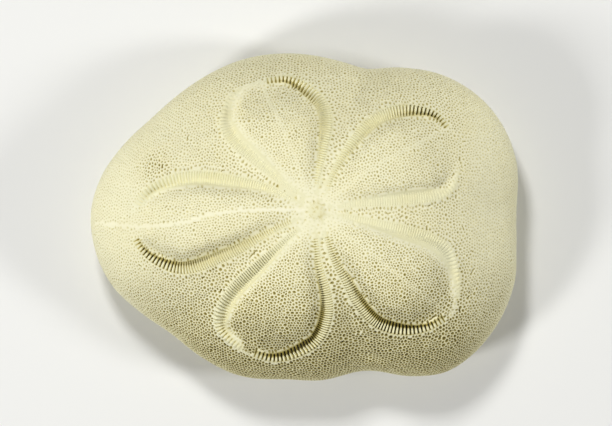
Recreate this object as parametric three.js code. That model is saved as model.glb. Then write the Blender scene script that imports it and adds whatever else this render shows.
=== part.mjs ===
// Cleaned test of a sea biscuit: a thick oval shell with five petals on its upper side.
//
// Millimetres, +Z up. The front of the animal points along -X and its right side along +Y.
// The origin is under the middle of the shell's box, on the surface that it lies on.
// Plan positions are measured from the apex, where the five petals meet.
// The shell grew as one piece, so it is one closed solid: an upper skin and an underside
// that share the edge ring where the outline is widest.

import * as THREE from 'three';
import { ConvexHull } from 'three/addons/math/ConvexHull.js';

// Driving dimensions of the body
const crownHeight = 42;
const edgeHeight = 13;
const crownRoundness = 2.3;
const edgeRoundness = 1.7;
const meanRadius = 57;

// Outline as [angle in degrees, radius], anticlockwise from the rear of the animal
const outline = [
  [0, 58.7], [15, 60.5], [30, 59.4], [45, 55.2], [60, 48.6], [70, 44.4], [80, 44.4], [95, 46.2],
  [115, 49.2], [135, 52], [150, 55.2], [160, 59.2], [170, 63.4], [180, 65.9], [190, 65.7],
  [200, 63.6], [210, 59.4], [220, 55.7], [232, 54.4], [245, 53.2], [260, 50.1], [272, 49.6],
  [284, 48.6], [291, 50.3], [300, 55.9], [310, 60.9], [325, 62.6], [340, 61.8], [350, 59.6],
];

// The two lips of each petal, from the apex to the tip, with the depth of the furrow inside each
// and the share of the lip after which it runs out
const petals = {
  front: {
    depths: [1.3, 2.4],
    ends: [0.91, 0.93],
    lips: [
      [[-2.8, 1.6], [-13.5, 7.3], [-25, 10.4], [-36, 11.5], [-45, 9.3], [-51.5, 4.5], [-55, -3.8]],
      [[-3, -1.3], [-13.4, -7], [-24, -13.4], [-37, -18.2], [-45.5, -16.4], [-52, -11], [-55, -3.8]],
    ],
  },
  frontRight: {
    depths: [1.5, 0.7],
    ends: [0.96, 0.88],
    lips: [
      [[0.4, 3.2], [0.9, 9.1], [3, 17], [4.6, 25.5], [2.9, 32], [-2.6, 37.2], [-9, 39.4], [-16.5, 38.3]],
      [[-1.6, 2.8], [-9.6, 7.3], [-19, 14.2], [-25, 19.5], [-27.8, 25.5], [-26, 32.2], [-21, 36.5],
        [-16.5, 38.3]],
    ],
  },
  rearRight: {
    depths: [1.6, 0.5],
    ends: [0.92, 0.84],
    lips: [
      [[1.8, 2.8], [4.5, 11.5], [9.5, 20.5], [15.2, 27.2], [21.5, 30.3], [28.5, 30.8], [36, 28.2],
        [41.6, 20.5]],
      [[3.1, 1], [14.3, 1.5], [24, 1.9], [33, 2.8], [38.8, 5.2], [41.4, 10.5], [41.6, 20.5]],
    ],
  },
  rearLeft: {
    depths: [0.4, 2.5],
    ends: [0.92, 0.95],
    lips: [
      [[3.3, -0.4], [14, -2], [25, -4.2], [34, -7], [39.2, -11], [41.3, -17.5], [41.7, -24.5],
        [40.2, -30.5]],
      [[1.4, -3.1], [4.1, -13.5], [7.5, -20.5], [11.3, -27.8], [17, -33.8], [25, -36.1], [33, -34.8],
        [40.2, -30.5]],
    ],
  },
  frontLeft: {
    depths: [2.3, 1.2],
    ends: [0.96, 0.9],
    lips: [
      [[-0.2, -3.3], [1.5, -14.9], [4.2, -23.5], [4.7, -30.5], [1.8, -38], [-4.7, -42.4], [-12.5, -44],
        [-21.3, -41.5]],
      [[-2.3, -2.4], [-9.9, -8.5], [-18, -15.2], [-25, -21.8], [-29.2, -29], [-28.6, -35.5],
        [-21.3, -41.5]],
    ],
  },
};

// Petal relief
const furrowWidth = 3;
const furrowWidthAtApex = 0.8;
const flankReach = 2.4;
const petalSwell = 2.7;
const swellArea = 38;
const rimHeight = 0.35;
const rimReach = 1.1;
const zoneFade = 0.14;

// Comb ridges across the furrow walls: in the middle of a zone each stands for two real ones
const ridgePitch = 1.25;
const ridgeHeight = 0.32;
const firstRidge = 7;

// Valleys between the petals as [angle in degrees, depth, half width in degrees]
const valleys = [[71, 1.8, 8], [143, 0.8, 15], [218, 1.2, 14], [291, 3.4, 8], [358, 0.8, 10]];

// The small raised plate at the apex
const apicalRadius = 2.6;
const apicalHeight = 0.5;

// Underside: the flat ring it rests on, the hollow that leads to the mouth, and its marks
const restInner = 0.74;
const restOuter = 0.84;
const hollowDepth = 11;
const hollowPower = 1.7;
const mouthRadius = 4.6;
const mouthDepth = 5;
const foodGrooveAngles = [184, 113, 33, -38, 251];
const foodGrooveWidth = 1.6;
const foodGrooveDepth = 0.5;
const foodGrooveEnd = 0.68;
const ventDistance = 51.5;
const ventRadius = 1.9;
const ventDepth = 1.3;

// Spacing of the points that the skins are drawn through
const edgePoints = 180;
const edgeBand = 3.2;
const upperSpacing = 3.6;
const lowerSpacing = 5.2;

const degrees = Math.PI / 180;

function smoothstep(low, high, value) {
  return THREE.MathUtils.smoothstep(value, low, high);
}

// Outline radius at an angle, as a smooth closed curve through the listed points
function outlineRadius(angle) {
  const count = outline.length;
  const turn = THREE.MathUtils.euclideanModulo(angle / degrees, 360);
  let at = count - 1;
  while (outline[at][0] > turn) at -= 1;
  const knot = (i) => {
    const lap = Math.floor(i / count);
    const [a, r] = outline[i - lap * count];
    return [a + 360 * lap, r];
  };
  const slope = (i) => {
    const [a0, r0] = knot(i - 1);
    const [a1, r1] = knot(i + 1);
    return (r1 - r0) / (a1 - a0);
  };
  const [a0, r0] = knot(at);
  const [a1, r1] = knot(at + 1);
  const span = a1 - a0;
  const t = (turn - a0) / span;
  const rise = t * t * (3 - 2 * t);
  const lead = t * (1 - t) * (1 - t) * span * slope(at);
  const trail = t * t * (1 - t) * span * slope(at + 1);
  return r0 + (r1 - r0) * rise + lead - trail;
}

// Share of the way from the apex to the outline, 0 to 1
function shareOut(x, y) {
  return Math.min(1, Math.hypot(x, y) / outlineRadius(Math.atan2(y, x)));
}

// Height of the plain dome and of the plain underside at a share of the way out
function domeHeight(share) {
  const rise = Math.pow(1 - Math.pow(share, crownRoundness), 1 / edgeRoundness);
  return edgeHeight + (crownHeight - edgeHeight) * rise;
}

function soleHeight(share) {
  if (share < restInner) return hollowDepth * Math.pow(1 - share / restInner, hollowPower);
  if (share < restOuter) return 0;
  const round = (share - restOuter) / (1 - restOuter);
  return edgeHeight * (1 - Math.sqrt(Math.max(0, 1 - round * round)));
}

// How far a point lies from the apex along the skin, for a shell of mean radius
function skinDistance(height) {
  const steps = 400;
  const table = [0];
  for (let i = 1; i <= steps; i += 1) {
    const drop = height(i / steps) - height((i - 1) / steps);
    table.push(table[i - 1] + Math.hypot(meanRadius / steps, drop));
  }
  return table.map((distance) => distance / meanRadius);
}

// Stretches a plan point outwards so that the rounded edge lies flat, and back again
function unroll(table, x, y) {
  const share = shareOut(x, y);
  if (share === 0) return new THREE.Vector2(0, 0);
  const place = share * (table.length - 1);
  const i = Math.min(Math.floor(place), table.length - 2);
  const stretched = THREE.MathUtils.lerp(table[i], table[i + 1], place - i);
  return new THREE.Vector2(x, y).multiplyScalar(stretched / share);
}

function rollUp(table, x, y) {
  const angle = Math.atan2(y, x);
  const wanted = Math.hypot(x, y) / outlineRadius(angle);
  let i = table.findIndex((distance) => distance >= wanted);
  if (i < 1) i = 1;
  const share = (i - 1 + (wanted - table[i - 1]) / (table[i] - table[i - 1])) / (table.length - 1);
  const radius = share * outlineRadius(angle);
  return new THREE.Vector2(radius * Math.cos(angle), radius * Math.sin(angle));
}

// One zone is the band of pores inside one lip of a petal
function makeZone(points, depth, end) {
  const curve = new THREE.SplineCurve(points.map(([x, y]) => new THREE.Vector2(x, y)));
  const samples = curve.getSpacedPoints(160);
  const length = curve.getLength();
  return { curve, samples, length, depth, end };
}

const zonesOf = Object.values(petals).map(({ lips, depths, ends }) => {
  const [left, right] = lips.map((lip, i) => makeZone(lip, depths[i], ends[i]));
  const ring = [...left.samples, ...right.samples.toReversed().slice(1)];
  return { zones: [left, right], ring };
});

function isInside(ring, x, y) {
  let inside = false;
  ring.forEach((a, i) => {
    const b = ring[(i + 1) % ring.length];
    const crosses = (a.y > y) !== (b.y > y);
    if (crosses && x < a.x + ((b.x - a.x) * (y - a.y)) / (b.y - a.y)) inside = !inside;
  });
  return inside;
}

// Distance to a lip and how far along it, 0 to 1
function nearestOnZone(zone, x, y) {
  let best = Infinity;
  let at = 0;
  zone.samples.forEach((sample, i) => {
    const d = Math.hypot(sample.x - x, sample.y - y);
    if (d < best) {
      best = d;
      at = i;
    }
  });
  return { distance: best, along: at / (zone.samples.length - 1) };
}

function zoneWidth(along) {
  return THREE.MathUtils.lerp(furrowWidthAtApex, furrowWidth, smoothstep(0, 0.5, along));
}

// A furrow starts near the apex and stops short of the petal's tip
function zoneStrength(zone, along) {
  return smoothstep(0.04, 0.5, along) * (1 - smoothstep(zone.end - zoneFade, zone.end, along));
}

function petalRelief(x, y) {
  let relief = 0;
  for (const { zones, ring } of zonesOf) {
    const near = zones.map((zone) => nearestOnZone(zone, x, y));
    const inside = isInside(ring, x, y);
    const clear = near.map(({ distance, along }) => Math.max(0, distance - zoneWidth(along)));
    if (inside) relief += petalSwell * (1 - Math.exp((-clear[0] * clear[1]) / swellArea));
    near.forEach(({ distance, along }, i) => {
      const width = zoneWidth(along);
      const strength = zoneStrength(zones[i], along);
      relief += rimHeight * strength * Math.exp(-((distance / rimReach) ** 2));
      if (!inside) return;
      const wall = Math.sin((Math.min(distance / width, 1) * Math.PI) / 2) ** 2;
      const flank = Math.exp(-((clear[i] / flankReach) ** 2));
      relief -= zones[i].depth * strength * wall * flank;
    });
  }
  return relief;
}

function upperHeight(x, y) {
  const share = shareOut(x, y);
  const turn = Math.atan2(y, x) / degrees;
  let height = domeHeight(share);
  for (const [angle, depth, halfWidth] of valleys) {
    const off = THREE.MathUtils.euclideanModulo(turn - angle + 180, 360) - 180;
    const reach = smoothstep(0.3, 0.85, share) * (1 - smoothstep(0.88, 1, share));
    height -= depth * Math.exp(-((off / halfWidth) ** 2)) * reach;
  }
  height += apicalHeight * Math.exp(-((Math.hypot(x, y) / apicalRadius) ** 4));
  return height + petalRelief(x, y) * (1 - smoothstep(0.9, 0.99, share));
}

function lowerHeight(x, y) {
  const share = shareOut(x, y);
  const radius = Math.hypot(x, y);
  let height = soleHeight(share);
  for (const angle of foodGrooveAngles) {
    const direction = new THREE.Vector2(Math.cos(angle * degrees), Math.sin(angle * degrees));
    const out = x * direction.x + y * direction.y;
    const across = y * direction.x - x * direction.y;
    if (out < 0) continue;
    const fade = 1 - smoothstep(foodGrooveEnd - 0.12, foodGrooveEnd, share);
    height += foodGrooveDepth * fade * Math.exp(-((across / (foodGrooveWidth / 3)) ** 2));
  }
  height += mouthDepth * (1 - smoothstep(0.6 * mouthRadius, mouthRadius, radius));
  const ventOff = Math.hypot(x - ventDistance, y);
  return height + ventDepth * (1 - smoothstep(0.3 * ventRadius, ventRadius, ventOff));
}

// Points of one zone: a lip, two rows of combed wall, a foot and the flank of the petal
function zonePoints(zone) {
  const found = [];
  const ridges = Math.floor((zone.length * zone.end - firstRidge) / ridgePitch);
  const place = (distance, off) => {
    const along = Math.min(distance / zone.length, 1);
    const at = zone.curve.getPointAt(along);
    const tangent = zone.curve.getTangentAt(along);
    const inward = new THREE.Vector2(-tangent.y, tangent.x).multiplyScalar(zone.inwardSide);
    return at.addScaledVector(inward, off);
  };
  for (let i = 0; i < ridges; i += 1) {
    const crest = firstRidge + i * ridgePitch;
    const groove = crest + ridgePitch / 2;
    const width = zoneWidth(crest / zone.length);
    const height = ridgeHeight * zoneStrength(zone, crest / zone.length);
    found.push({ at: place(crest, 0), lift: 0 });
    for (const share of [0.3, 0.75]) {
      found.push({ at: place(crest, share * width), lift: height });
      found.push({ at: place(groove, share * width), lift: -height });
    }
    found.push({ at: place(groove, 1.1 * width), lift: 0 });
    if (i % 2 === 1) {
      found.push({ at: place(crest, width + flankReach * 0.8), lift: 0 });
      found.push({ at: place(crest, -rimReach * 1.4), lift: 0 });
    }
  }
  return found;
}

function ringPoints(count, radius, centreX = 0) {
  return Array.from({ length: count }, (_, i) => {
    const angle = (i / count) * 2 * Math.PI;
    return { at: new THREE.Vector2(centreX + radius * Math.cos(angle), radius * Math.sin(angle)), lift: 0 };
  });
}

// A row of points that follows the edge at a distance from it along the skin
function bandPoints(table, distance) {
  return Array.from({ length: edgePoints / 2 }, (_, i) => {
    const angle = (i / (edgePoints / 2)) * 2 * Math.PI;
    const radius = outlineRadius(angle) * table[table.length - 1] - distance;
    return { at: rollUp(table, radius * Math.cos(angle), radius * Math.sin(angle)), lift: 0 };
  });
}

// Fills the rest of a skin with evenly spaced points that keep clear of the ones already there
function fillPoints(table, spacing, found, clearance) {
  const taken = found.map(({ at }) => unroll(table, at.x, at.y));
  const reach = 75 * table[table.length - 1];
  const rowHeight = (spacing * Math.sqrt(3)) / 2;
  const rows = Math.ceil(reach / rowHeight);
  for (let row = -rows; row <= rows; row += 1) {
    for (let column = -rows; column <= rows; column += 1) {
      const x = (column + (row % 2 === 0 ? 0 : 0.5)) * spacing;
      const y = row * rowHeight;
      const limit = outlineRadius(Math.atan2(y, x)) * table[table.length - 1];
      if (Math.hypot(x, y) > limit - 0.6 * spacing) continue;
      if (taken.some((point) => Math.hypot(point.x - x, point.y - y) < clearance)) continue;
      found.push({ at: rollUp(table, x, y), lift: 0 });
    }
  }
}

// Joins plan points into triangles: the lower side of the hull of the points lifted to a bowl
function joinPoints(table, plan) {
  const lifted = plan.map(({ x, y }, i) => {
    const flat = unroll(table, x, y);
    const nudge = 0.002 * Math.sin(i * 12.9);
    const px = flat.x + nudge;
    return new THREE.Vector3(px, flat.y, (px * px + flat.y * flat.y) / meanRadius);
  });
  const order = new Map(lifted.map((point, i) => [point, i]));
  const triangles = [];
  for (const face of new ConvexHull().setFromPoints(lifted).faces) {
    if (face.normal.z > -1e-9) continue;
    const corners = [face.getEdge(0), face.getEdge(1), face.getEdge(2)].map((edge) => edge.head().point);
    const x = (corners[0].x + corners[1].x + corners[2].x) / 3;
    const y = (corners[0].y + corners[1].y + corners[2].y) / 3;
    const limit = outlineRadius(Math.atan2(y, x)) * table[table.length - 1];
    if (Math.hypot(x, y) > limit) continue;
    triangles.push(corners.reverse().map((corner) => order.get(corner)));
  }
  return triangles;
}

function buildTest() {
  const upperTable = skinDistance(domeHeight);
  const lowerTable = skinDistance(soleHeight);

  const edge = Array.from({ length: edgePoints }, (_, i) => {
    const angle = (i / edgePoints) * 2 * Math.PI;
    const radius = outlineRadius(angle);
    return new THREE.Vector2(radius * Math.cos(angle), radius * Math.sin(angle));
  });

  const upper = [{ at: new THREE.Vector2(0, 0), lift: 0 }, ...ringPoints(10, 1.9), ...ringPoints(12, 3.3)];
  zonesOf.forEach(({ zones, ring }) => zones.forEach((zone) => {
    const middle = zone.curve.getPointAt(0.6);
    const tangent = zone.curve.getTangentAt(0.6);
    const leftIsIn = isInside(ring, middle.x - tangent.y, middle.y + tangent.x);
    zone.inwardSide = leftIsIn ? 1 : -1;
    upper.push(...zonePoints(zone));
  }));
  upper.push(...bandPoints(upperTable, edgeBand), ...bandPoints(upperTable, 2 * edgeBand));
  fillPoints(upperTable, upperSpacing, upper, 0.5 * upperSpacing);

  const lower = [{ at: new THREE.Vector2(0, 0), lift: 0 }];
  for (const share of [0.55, 0.75, 1.02, 1.3]) lower.push(...ringPoints(20, share * mouthRadius));
  lower.push({ at: new THREE.Vector2(ventDistance, 0), lift: 0 });
  for (const share of [0.45, 1.05]) lower.push(...ringPoints(10, share * ventRadius, ventDistance));
  lower.push(...bandPoints(lowerTable, edgeBand), ...bandPoints(lowerTable, 2 * edgeBand));
  for (const share of [restInner + 0.002, restOuter - 0.002]) {
    for (let i = 0; i < edgePoints; i += 2) {
      lower.push({ at: edge[i].clone().multiplyScalar(share), lift: 0 });
    }
  }
  for (const angle of foodGrooveAngles) {
    const end = foodGrooveEnd * outlineRadius(angle * degrees);
    for (let out = 1.5 * mouthRadius; out < end; out += 3) {
      for (const across of [-0.55, 0, 0.55]) {
        const at = new THREE.Vector2(out, across * foodGrooveWidth);
        lower.push({ at: at.rotateAround(new THREE.Vector2(), angle * degrees), lift: 0 });
      }
    }
  }
  fillPoints(lowerTable, lowerSpacing, lower, 0.55 * lowerSpacing);

  const box = new THREE.Box2().setFromPoints(edge);
  const middle = box.getCenter(new THREE.Vector2());
  const positions = [];
  edge.forEach(({ x, y }) => positions.push(x - middle.x, y - middle.y, edgeHeight));
  for (const { at, lift } of upper) {
    positions.push(at.x - middle.x, at.y - middle.y, upperHeight(at.x, at.y) + lift);
  }
  for (const { at } of lower) {
    positions.push(at.x - middle.x, at.y - middle.y, lowerHeight(at.x, at.y));
  }

  const upperTriangles = joinPoints(upperTable, [...edge, ...upper.map(({ at }) => at)]);
  const lowerTriangles = joinPoints(lowerTable, [...edge, ...lower.map(({ at }) => at)]);
  const shift = (i) => (i < edge.length ? i : i + upper.length);
  const faces = [
    ...upperTriangles,
    ...lowerTriangles.map(([a, b, c]) => [shift(a), shift(c), shift(b)]),
  ];

  const geometry = new THREE.BufferGeometry();
  geometry.setAttribute('position', new THREE.Float32BufferAttribute(positions, 3));
  geometry.setIndex(faces.flat());
  geometry.computeVertexNormals();
  return geometry;
}

const calcite = new THREE.MeshStandardMaterial({ color: 0xe6e0b8, roughness: 0.85, metalness: 0 });

const test = new THREE.Mesh(buildTest(), calcite);
test.name = 'test';

const seaBiscuit = new THREE.Group();
seaBiscuit.add(test);

export default seaBiscuit;
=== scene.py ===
"""Dresses the sea biscuit test: combed furrows, sunken tubercles and a pitted skin, in a plain studio.

Plan positions are in millimetres from the apex, where the petals meet, as in the solid's own source.
The skin is drawn on a plane where the rounded edge lies flat (its points are called flat points here),
joined into triangles there, and then lifted to the heights of the upper side or the underside.
"""

import logging
from collections.abc import Callable
from dataclasses import dataclass, field
from enum import Enum

import bpy
import numpy as np
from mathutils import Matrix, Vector
from mathutils.geometry import delaunay_2d_cdt
from mathutils.kdtree import KDTree


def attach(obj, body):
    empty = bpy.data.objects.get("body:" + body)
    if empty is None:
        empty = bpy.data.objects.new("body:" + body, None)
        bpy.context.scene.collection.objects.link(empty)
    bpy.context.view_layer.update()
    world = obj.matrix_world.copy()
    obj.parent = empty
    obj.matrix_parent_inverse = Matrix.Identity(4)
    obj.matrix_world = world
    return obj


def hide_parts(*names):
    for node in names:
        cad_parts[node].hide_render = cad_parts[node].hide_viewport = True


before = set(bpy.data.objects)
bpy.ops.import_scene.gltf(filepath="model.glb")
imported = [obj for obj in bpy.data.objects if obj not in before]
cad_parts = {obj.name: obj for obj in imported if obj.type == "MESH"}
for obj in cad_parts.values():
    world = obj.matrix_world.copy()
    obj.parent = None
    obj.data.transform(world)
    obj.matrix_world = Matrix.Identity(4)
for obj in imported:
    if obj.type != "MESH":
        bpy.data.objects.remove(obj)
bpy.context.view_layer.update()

Array = np.ndarray
MM = 0.001
SEED = 11
UV_MAP = "OFBake"
ROW_STEP = 0.87  # rows of evenly spaced points lie this share of their spacing apart
log = logging.getLogger("sea_biscuit")


class Side(Enum):
    """The two skins of the test, which meet at its widest outline."""

    UPPER = "upper"
    UNDER = "under"


def smoothstep(low: float, high: float, value: Array) -> Array:
    """Smooth rise from 0 at low to 1 at high, where high may also lie below low."""
    t = np.clip((value - low) / (high - low), 0.0, 1.0)
    return t * t * (3.0 - 2.0 * t)


def polar(radius: Array, angle: Array) -> Array:
    """Plan points from radii and angles in radians."""
    return np.stack([radius * np.cos(angle), radius * np.sin(angle)], axis=-1)


def even_turn(count: int) -> Array:
    """Evenly spaced angles in radians, from 0 and all the way round."""
    return np.arange(count) / count * 2 * np.pi


def run_along(path: Array) -> Array:
    """Distance along a path at each of its points."""
    return np.concatenate([[0.0], np.cumsum(np.linalg.norm(np.diff(path, axis=0), axis=1))])


@dataclass(frozen=True)
class Outline:
    """Plan outline of the test, as (angle in degrees, radius in mm) from the rear, anticlockwise."""

    knots: tuple[tuple[float, float], ...] = (
        (0, 58.7), (15, 60.5), (30, 59.4), (45, 55.2), (60, 48.6), (70, 44.4), (80, 44.4), (95, 46.2),
        (115, 49.2), (135, 52), (150, 55.2), (160, 59.2), (170, 63.4), (180, 65.9), (190, 65.7),
        (200, 63.6), (210, 59.4), (220, 55.7), (232, 54.4), (245, 53.2), (260, 50.1), (272, 49.6),
        (284, 48.6), (291, 50.3), (300, 55.9), (310, 60.9), (325, 62.6), (340, 61.8), (350, 59.6),
    )

    def radius(self, angle: Array) -> Array:
        """Radius at each angle.

        Args:
            angle: angles in radians.

        Returns:
            The radii of a smooth closed curve through the knots.
        """
        turn = np.degrees(angle) % 360.0
        knots = np.array(self.knots)
        a = np.concatenate([knots[:, 0] - 360, knots[:, 0], knots[:, 0] + 360])
        r = np.tile(knots[:, 1], 3)
        slope = np.zeros_like(r)
        slope[1:-1] = (r[2:] - r[:-2]) / (a[2:] - a[:-2])
        i = np.searchsorted(a, turn, side="right") - 1
        span = a[i + 1] - a[i]
        t = (turn - a[i]) / span
        rise = t * t * (3 - 2 * t)
        lead = t * (1 - t) ** 2 * span * slope[i]
        trail = t * t * (1 - t) * span * slope[i + 1]
        return r[i] + (r[i + 1] - r[i]) * rise + lead - trail

    def ring(self, count: int) -> Array:
        """Evenly turned plan points on the outline."""
        angle = even_turn(count)
        return polar(self.radius(angle), angle)

    def share(self, plan: Array) -> Array:
        """How far out each plan point lies, from 0 at the apex to 1 on the outline."""
        radius = self.radius(np.arctan2(plan[:, 1], plan[:, 0]))
        return np.minimum(np.hypot(plan[:, 0], plan[:, 1]) / radius, 1.0)

    def middle(self) -> Array:
        """Plan position of the middle of the outline's box."""
        ring = self.ring(720)
        return (ring.min(0) + ring.max(0)) / 2


MIDDLE = Outline().middle()


class Curve:
    """A smooth plan curve through given points, sampled evenly along its length."""

    def __init__(self, points: tuple[tuple[float, float], ...], count: int = 240) -> None:
        """Samples the curve.

        Args:
            points: the plan points that the curve passes through.
            count: how many samples it keeps.
        """
        p = np.array(points, float)
        p = np.vstack([p[:1], p, p[-1:]])
        t = np.linspace(0, 1, 50, endpoint=False)[:, None]
        drawn = []
        for a, b, c, d in zip(p, p[1:], p[2:], p[3:]):
            lead, trail = (c - a) / 2, (d - b) / 2
            cubic = 2 * b - 2 * c + lead + trail
            square = 3 * c - 3 * b - 2 * lead - trail
            drawn.append(cubic * t**3 + square * t**2 + lead * t + b)
        path = np.vstack([*drawn, p[-1:]])
        run = run_along(path)
        self.length = float(run[-1])
        even = np.linspace(0, self.length, count)
        self.run = even
        self.samples = np.stack([np.interp(even, run, path[:, k]) for k in (0, 1)], axis=1)
        tangent = np.gradient(self.samples, axis=0)
        self.tangents = tangent / np.linalg.norm(tangent, axis=1, keepdims=True)

    def at(self, distance: Array, off: Array) -> Array:
        """Plan points beside the curve.

        Args:
            distance: how far along the curve each point lies.
            off: how far to the left of the curve it lies.

        Returns:
            The points.
        """
        place = np.stack([np.interp(distance, self.run, self.samples[:, k]) for k in (0, 1)], axis=-1)
        along = np.stack([np.interp(distance, self.run, self.tangents[:, k]) for k in (0, 1)], axis=-1)
        left = np.stack([-along[..., 1], along[..., 0]], axis=-1)
        return place + left * np.asarray(off)[..., None]

    def nearest(self, plan: Array) -> tuple[Array, Array]:
        """Where plan points lie beside the curve.

        Args:
            plan: the plan points.

        Returns:
            The distance from each point to the curve, and how far along it that is, 0 to 1.
        """
        square = (
            (plan**2).sum(1)[:, None]
            - 2 * plan @ self.samples.T
            + (self.samples**2).sum(1)[None]
        )
        i = square.argmin(axis=1)
        off = plan - self.samples[i]
        step = self.length / (len(self.samples) - 1)
        run = np.clip((off * self.tangents[i]).sum(1), -step, step)
        distance = np.linalg.norm(off - run[:, None] * self.tangents[i], axis=1)
        return distance, np.clip((self.run[i] + run) / self.length, 0, 1)


@dataclass(frozen=True)
class FurrowSizes:
    """Sizes of the pore furrows inside a petal's lips, in mm, and shares of the lip at which they change."""

    width: float = 3.0
    width_at_apex: float = 0.8
    wide_at: float = 0.5
    formed: tuple[float, float] = (0.04, 0.5)
    fade: float = 0.14
    flank_reach: float = 2.4
    rim_height: float = 0.35
    rim_reach: float = 1.1
    fine_pitch: float = 0.72
    coarse_pitch: float = 1.2
    coarsening: tuple[float, float] = (0.5, 0.74)
    first_ridge: float = 4.5
    last_ridge_gap: float = 0.01
    comb_taper: tuple[float, float] = (0.3, 0.05)
    pores_end: tuple[float, float] = (0.03, 0.01)


FURROW = FurrowSizes()


@dataclass(frozen=True)
class PetalShape:
    """One petal as measured: its lips, its furrows and its middle line, which runs on towards the edge.

    The pairs are for the left and the right lip: the furrow's depth in mm, the share of the lip after which
    it runs out, how strongly its comb is cut, which also sets how much painted shade darkens its slots, how
    much of the furrow's width the comb takes towards the tip, and the width in mm of the smooth band beside
    it.
    """

    name: str
    depths: tuple[float, float]
    ends: tuple[float, float]
    combs: tuple[float, float]
    slots: tuple[float, float]
    bands: tuple[float, float]
    left: tuple[tuple[float, float], ...]
    right: tuple[tuple[float, float], ...]
    middle: tuple[tuple[float, float], ...]
    paleness: float


class Zone:
    """One band of paired pores, just inside one lip of a petal."""

    def __init__(self, shape: PetalShape, number: int) -> None:
        """Sets up the band.

        Args:
            shape: the petal's measured shape.
            number: 0 for the band at its left lip and 1 for the one at its right lip.
        """
        self.lip = Curve((shape.left, shape.right)[number])
        self.depth = shape.depths[number]
        self.end = shape.ends[number]
        self.comb = shape.combs[number]
        self.slot = shape.slots[number]
        self.band = shape.bands[number]
        self.inward = 1.0

    @staticmethod
    def width(along: Array) -> Array:
        """Width of the furrow at a share of the lip."""
        rise = smoothstep(0, FURROW.wide_at, along)
        return FURROW.width_at_apex + (FURROW.width - FURROW.width_at_apex) * rise

    def comb_width(self, along: Array) -> Array:
        """Length of the comb's slots, shorter towards the tip.

        Args:
            along: places on the lip, as shares of its length.

        Returns:
            The length at each place, in mm.
        """
        start, stop = FURROW.comb_taper
        taper = smoothstep(self.end - start, self.end - stop, along)
        return self.width(along) * (1 - (1 - self.slot) * taper)

    def strength(self, along: Array) -> Array:
        """How strongly the furrow is formed, from 0 to 1."""
        return smoothstep(*FURROW.formed, along) * (1 - smoothstep(self.end - FURROW.fade, self.end, along))

    def present(self, along: Array) -> Array:
        """1 where the band of pores exists and 0 past its end."""
        before, after = FURROW.pores_end
        return 1 - smoothstep(self.end - before, self.end + after, along)

    def ridges(self) -> Array:
        """Finds where the comb ridges start.

        Returns:
            Distances along the lip, closest together near the apex.
        """
        found = [FURROW.first_ridge]
        limit = self.lip.length * (self.end - FURROW.last_ridge_gap)
        while found[-1] < limit:
            found.append(found[-1] + float(self.pitch(np.array(found[-1] / self.lip.length))))
        return np.array(found[:-1])

    def pitch(self, along: Array) -> Array:
        """Spacing of the comb ridges at a share of the lip."""
        rise = smoothstep(*FURROW.coarsening, along)
        return FURROW.fine_pitch + (FURROW.coarse_pitch - FURROW.fine_pitch) * rise


PETALS = (
    PetalShape(
        "front", (1.3, 2.4), (0.91, 0.93), (0.42, 0.87), (0.6, 0.55), (0.7, 0.0),
        ((-2.8, 1.6), (-13.5, 7.3), (-25, 10.4), (-36, 11.5), (-45, 9.3), (-51.5, 4.5), (-55, -3.8)),
        ((-3, -1.3), (-13.4, -7), (-24, -13.4), (-37, -18.2), (-45.5, -16.4), (-52, -11), (-55, -3.8)),
        ((-3, 0.4), (-16.4, 0.3), (-28.1, -0.6), (-39.8, -3.5), (-51.5, -4.5), (-65.5, -3.2)),
        0.7,
    ),
    PetalShape(
        "front_right", (1.5, 0.7), (0.96, 0.88), (0.8, 0.15), (0.5, 0.2), (0.2, 2.4),
        ((0.4, 3.2), (0.9, 9.1), (3, 17), (4.6, 25.5), (2.9, 32), (-2.6, 37.2), (-9, 39.4), (-16.5, 38.3)),
        ((-1.6, 2.8), (-9.6, 7.3), (-19, 14.2), (-25, 19.5), (-27.8, 25.5), (-26, 32.2), (-21, 36.5),
         (-16.5, 38.3)),
        ((-1.4, 3), (-5.3, 13.5), (-8.2, 20.8), (-12, 29), (-14.9, 34.8), (-19, 47)),
        0.4,
    ),
    PetalShape(
        "rear_right", (1.6, 0.5), (0.92, 0.84), (0.8, 0.12), (0.5, 0.1), (0.2, 0.6),
        ((1.8, 2.8), (4.5, 11.5), (9.5, 20.5), (15.2, 27.2), (21.5, 30.3), (28.5, 30.8), (36, 28.2),
         (41.6, 20.5)),
        ((3.1, 1), (14.3, 1.5), (24, 1.9), (33, 2.8), (38.8, 5.2), (41.4, 10.5), (41.6, 20.5)),
        ((2.6, 2), (9.9, 8.2), (18.7, 14), (26, 17.8), (36.3, 23.4), (50.5, 33)),
        0.35,
    ),
    PetalShape(
        "rear_left", (0.4, 2.5), (0.92, 0.95), (0.12, 1.0), (0.2, 0.6), (2.0, 0.2),
        ((3.3, -0.4), (14, -2), (25, -4.2), (34, -7), (39.2, -11), (41.3, -17.5), (41.7, -24.5),
         (40.2, -30.5)),
        ((1.4, -3.1), (4.1, -13.5), (7.5, -20.5), (11.3, -27.8), (17, -33.8), (25, -36.1), (33, -34.8),
         (40.2, -30.5)),
        ((2.4, -2), (9.9, -7.9), (16.4, -12.6), (26, -20.5), (34.8, -27.2), (49, -38)),
        0.3,
    ),
    PetalShape(
        "front_left", (2.3, 1.2), (0.96, 0.98), (1.0, 0.55), (0.6, 0.5), (0.8, 1.8),
        ((-0.2, -3.3), (1.5, -14.9), (4.2, -23.5), (4.7, -30.5), (1.8, -38), (-4.7, -42.4), (-12.5, -44),
         (-21.3, -41.5)),
        ((-2.3, -2.4), (-9.9, -8.5), (-18, -15.2), (-25, -21.8), (-29.2, -29), (-28.6, -35.5),
         (-21.3, -41.5)),
        ((-1.3, -3.2), (-3.2, -11.4), (-6.1, -20.2), (-9.1, -28.9), (-12.4, -38), (-15, -47.5)),
        0.15,
    ),
)


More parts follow.
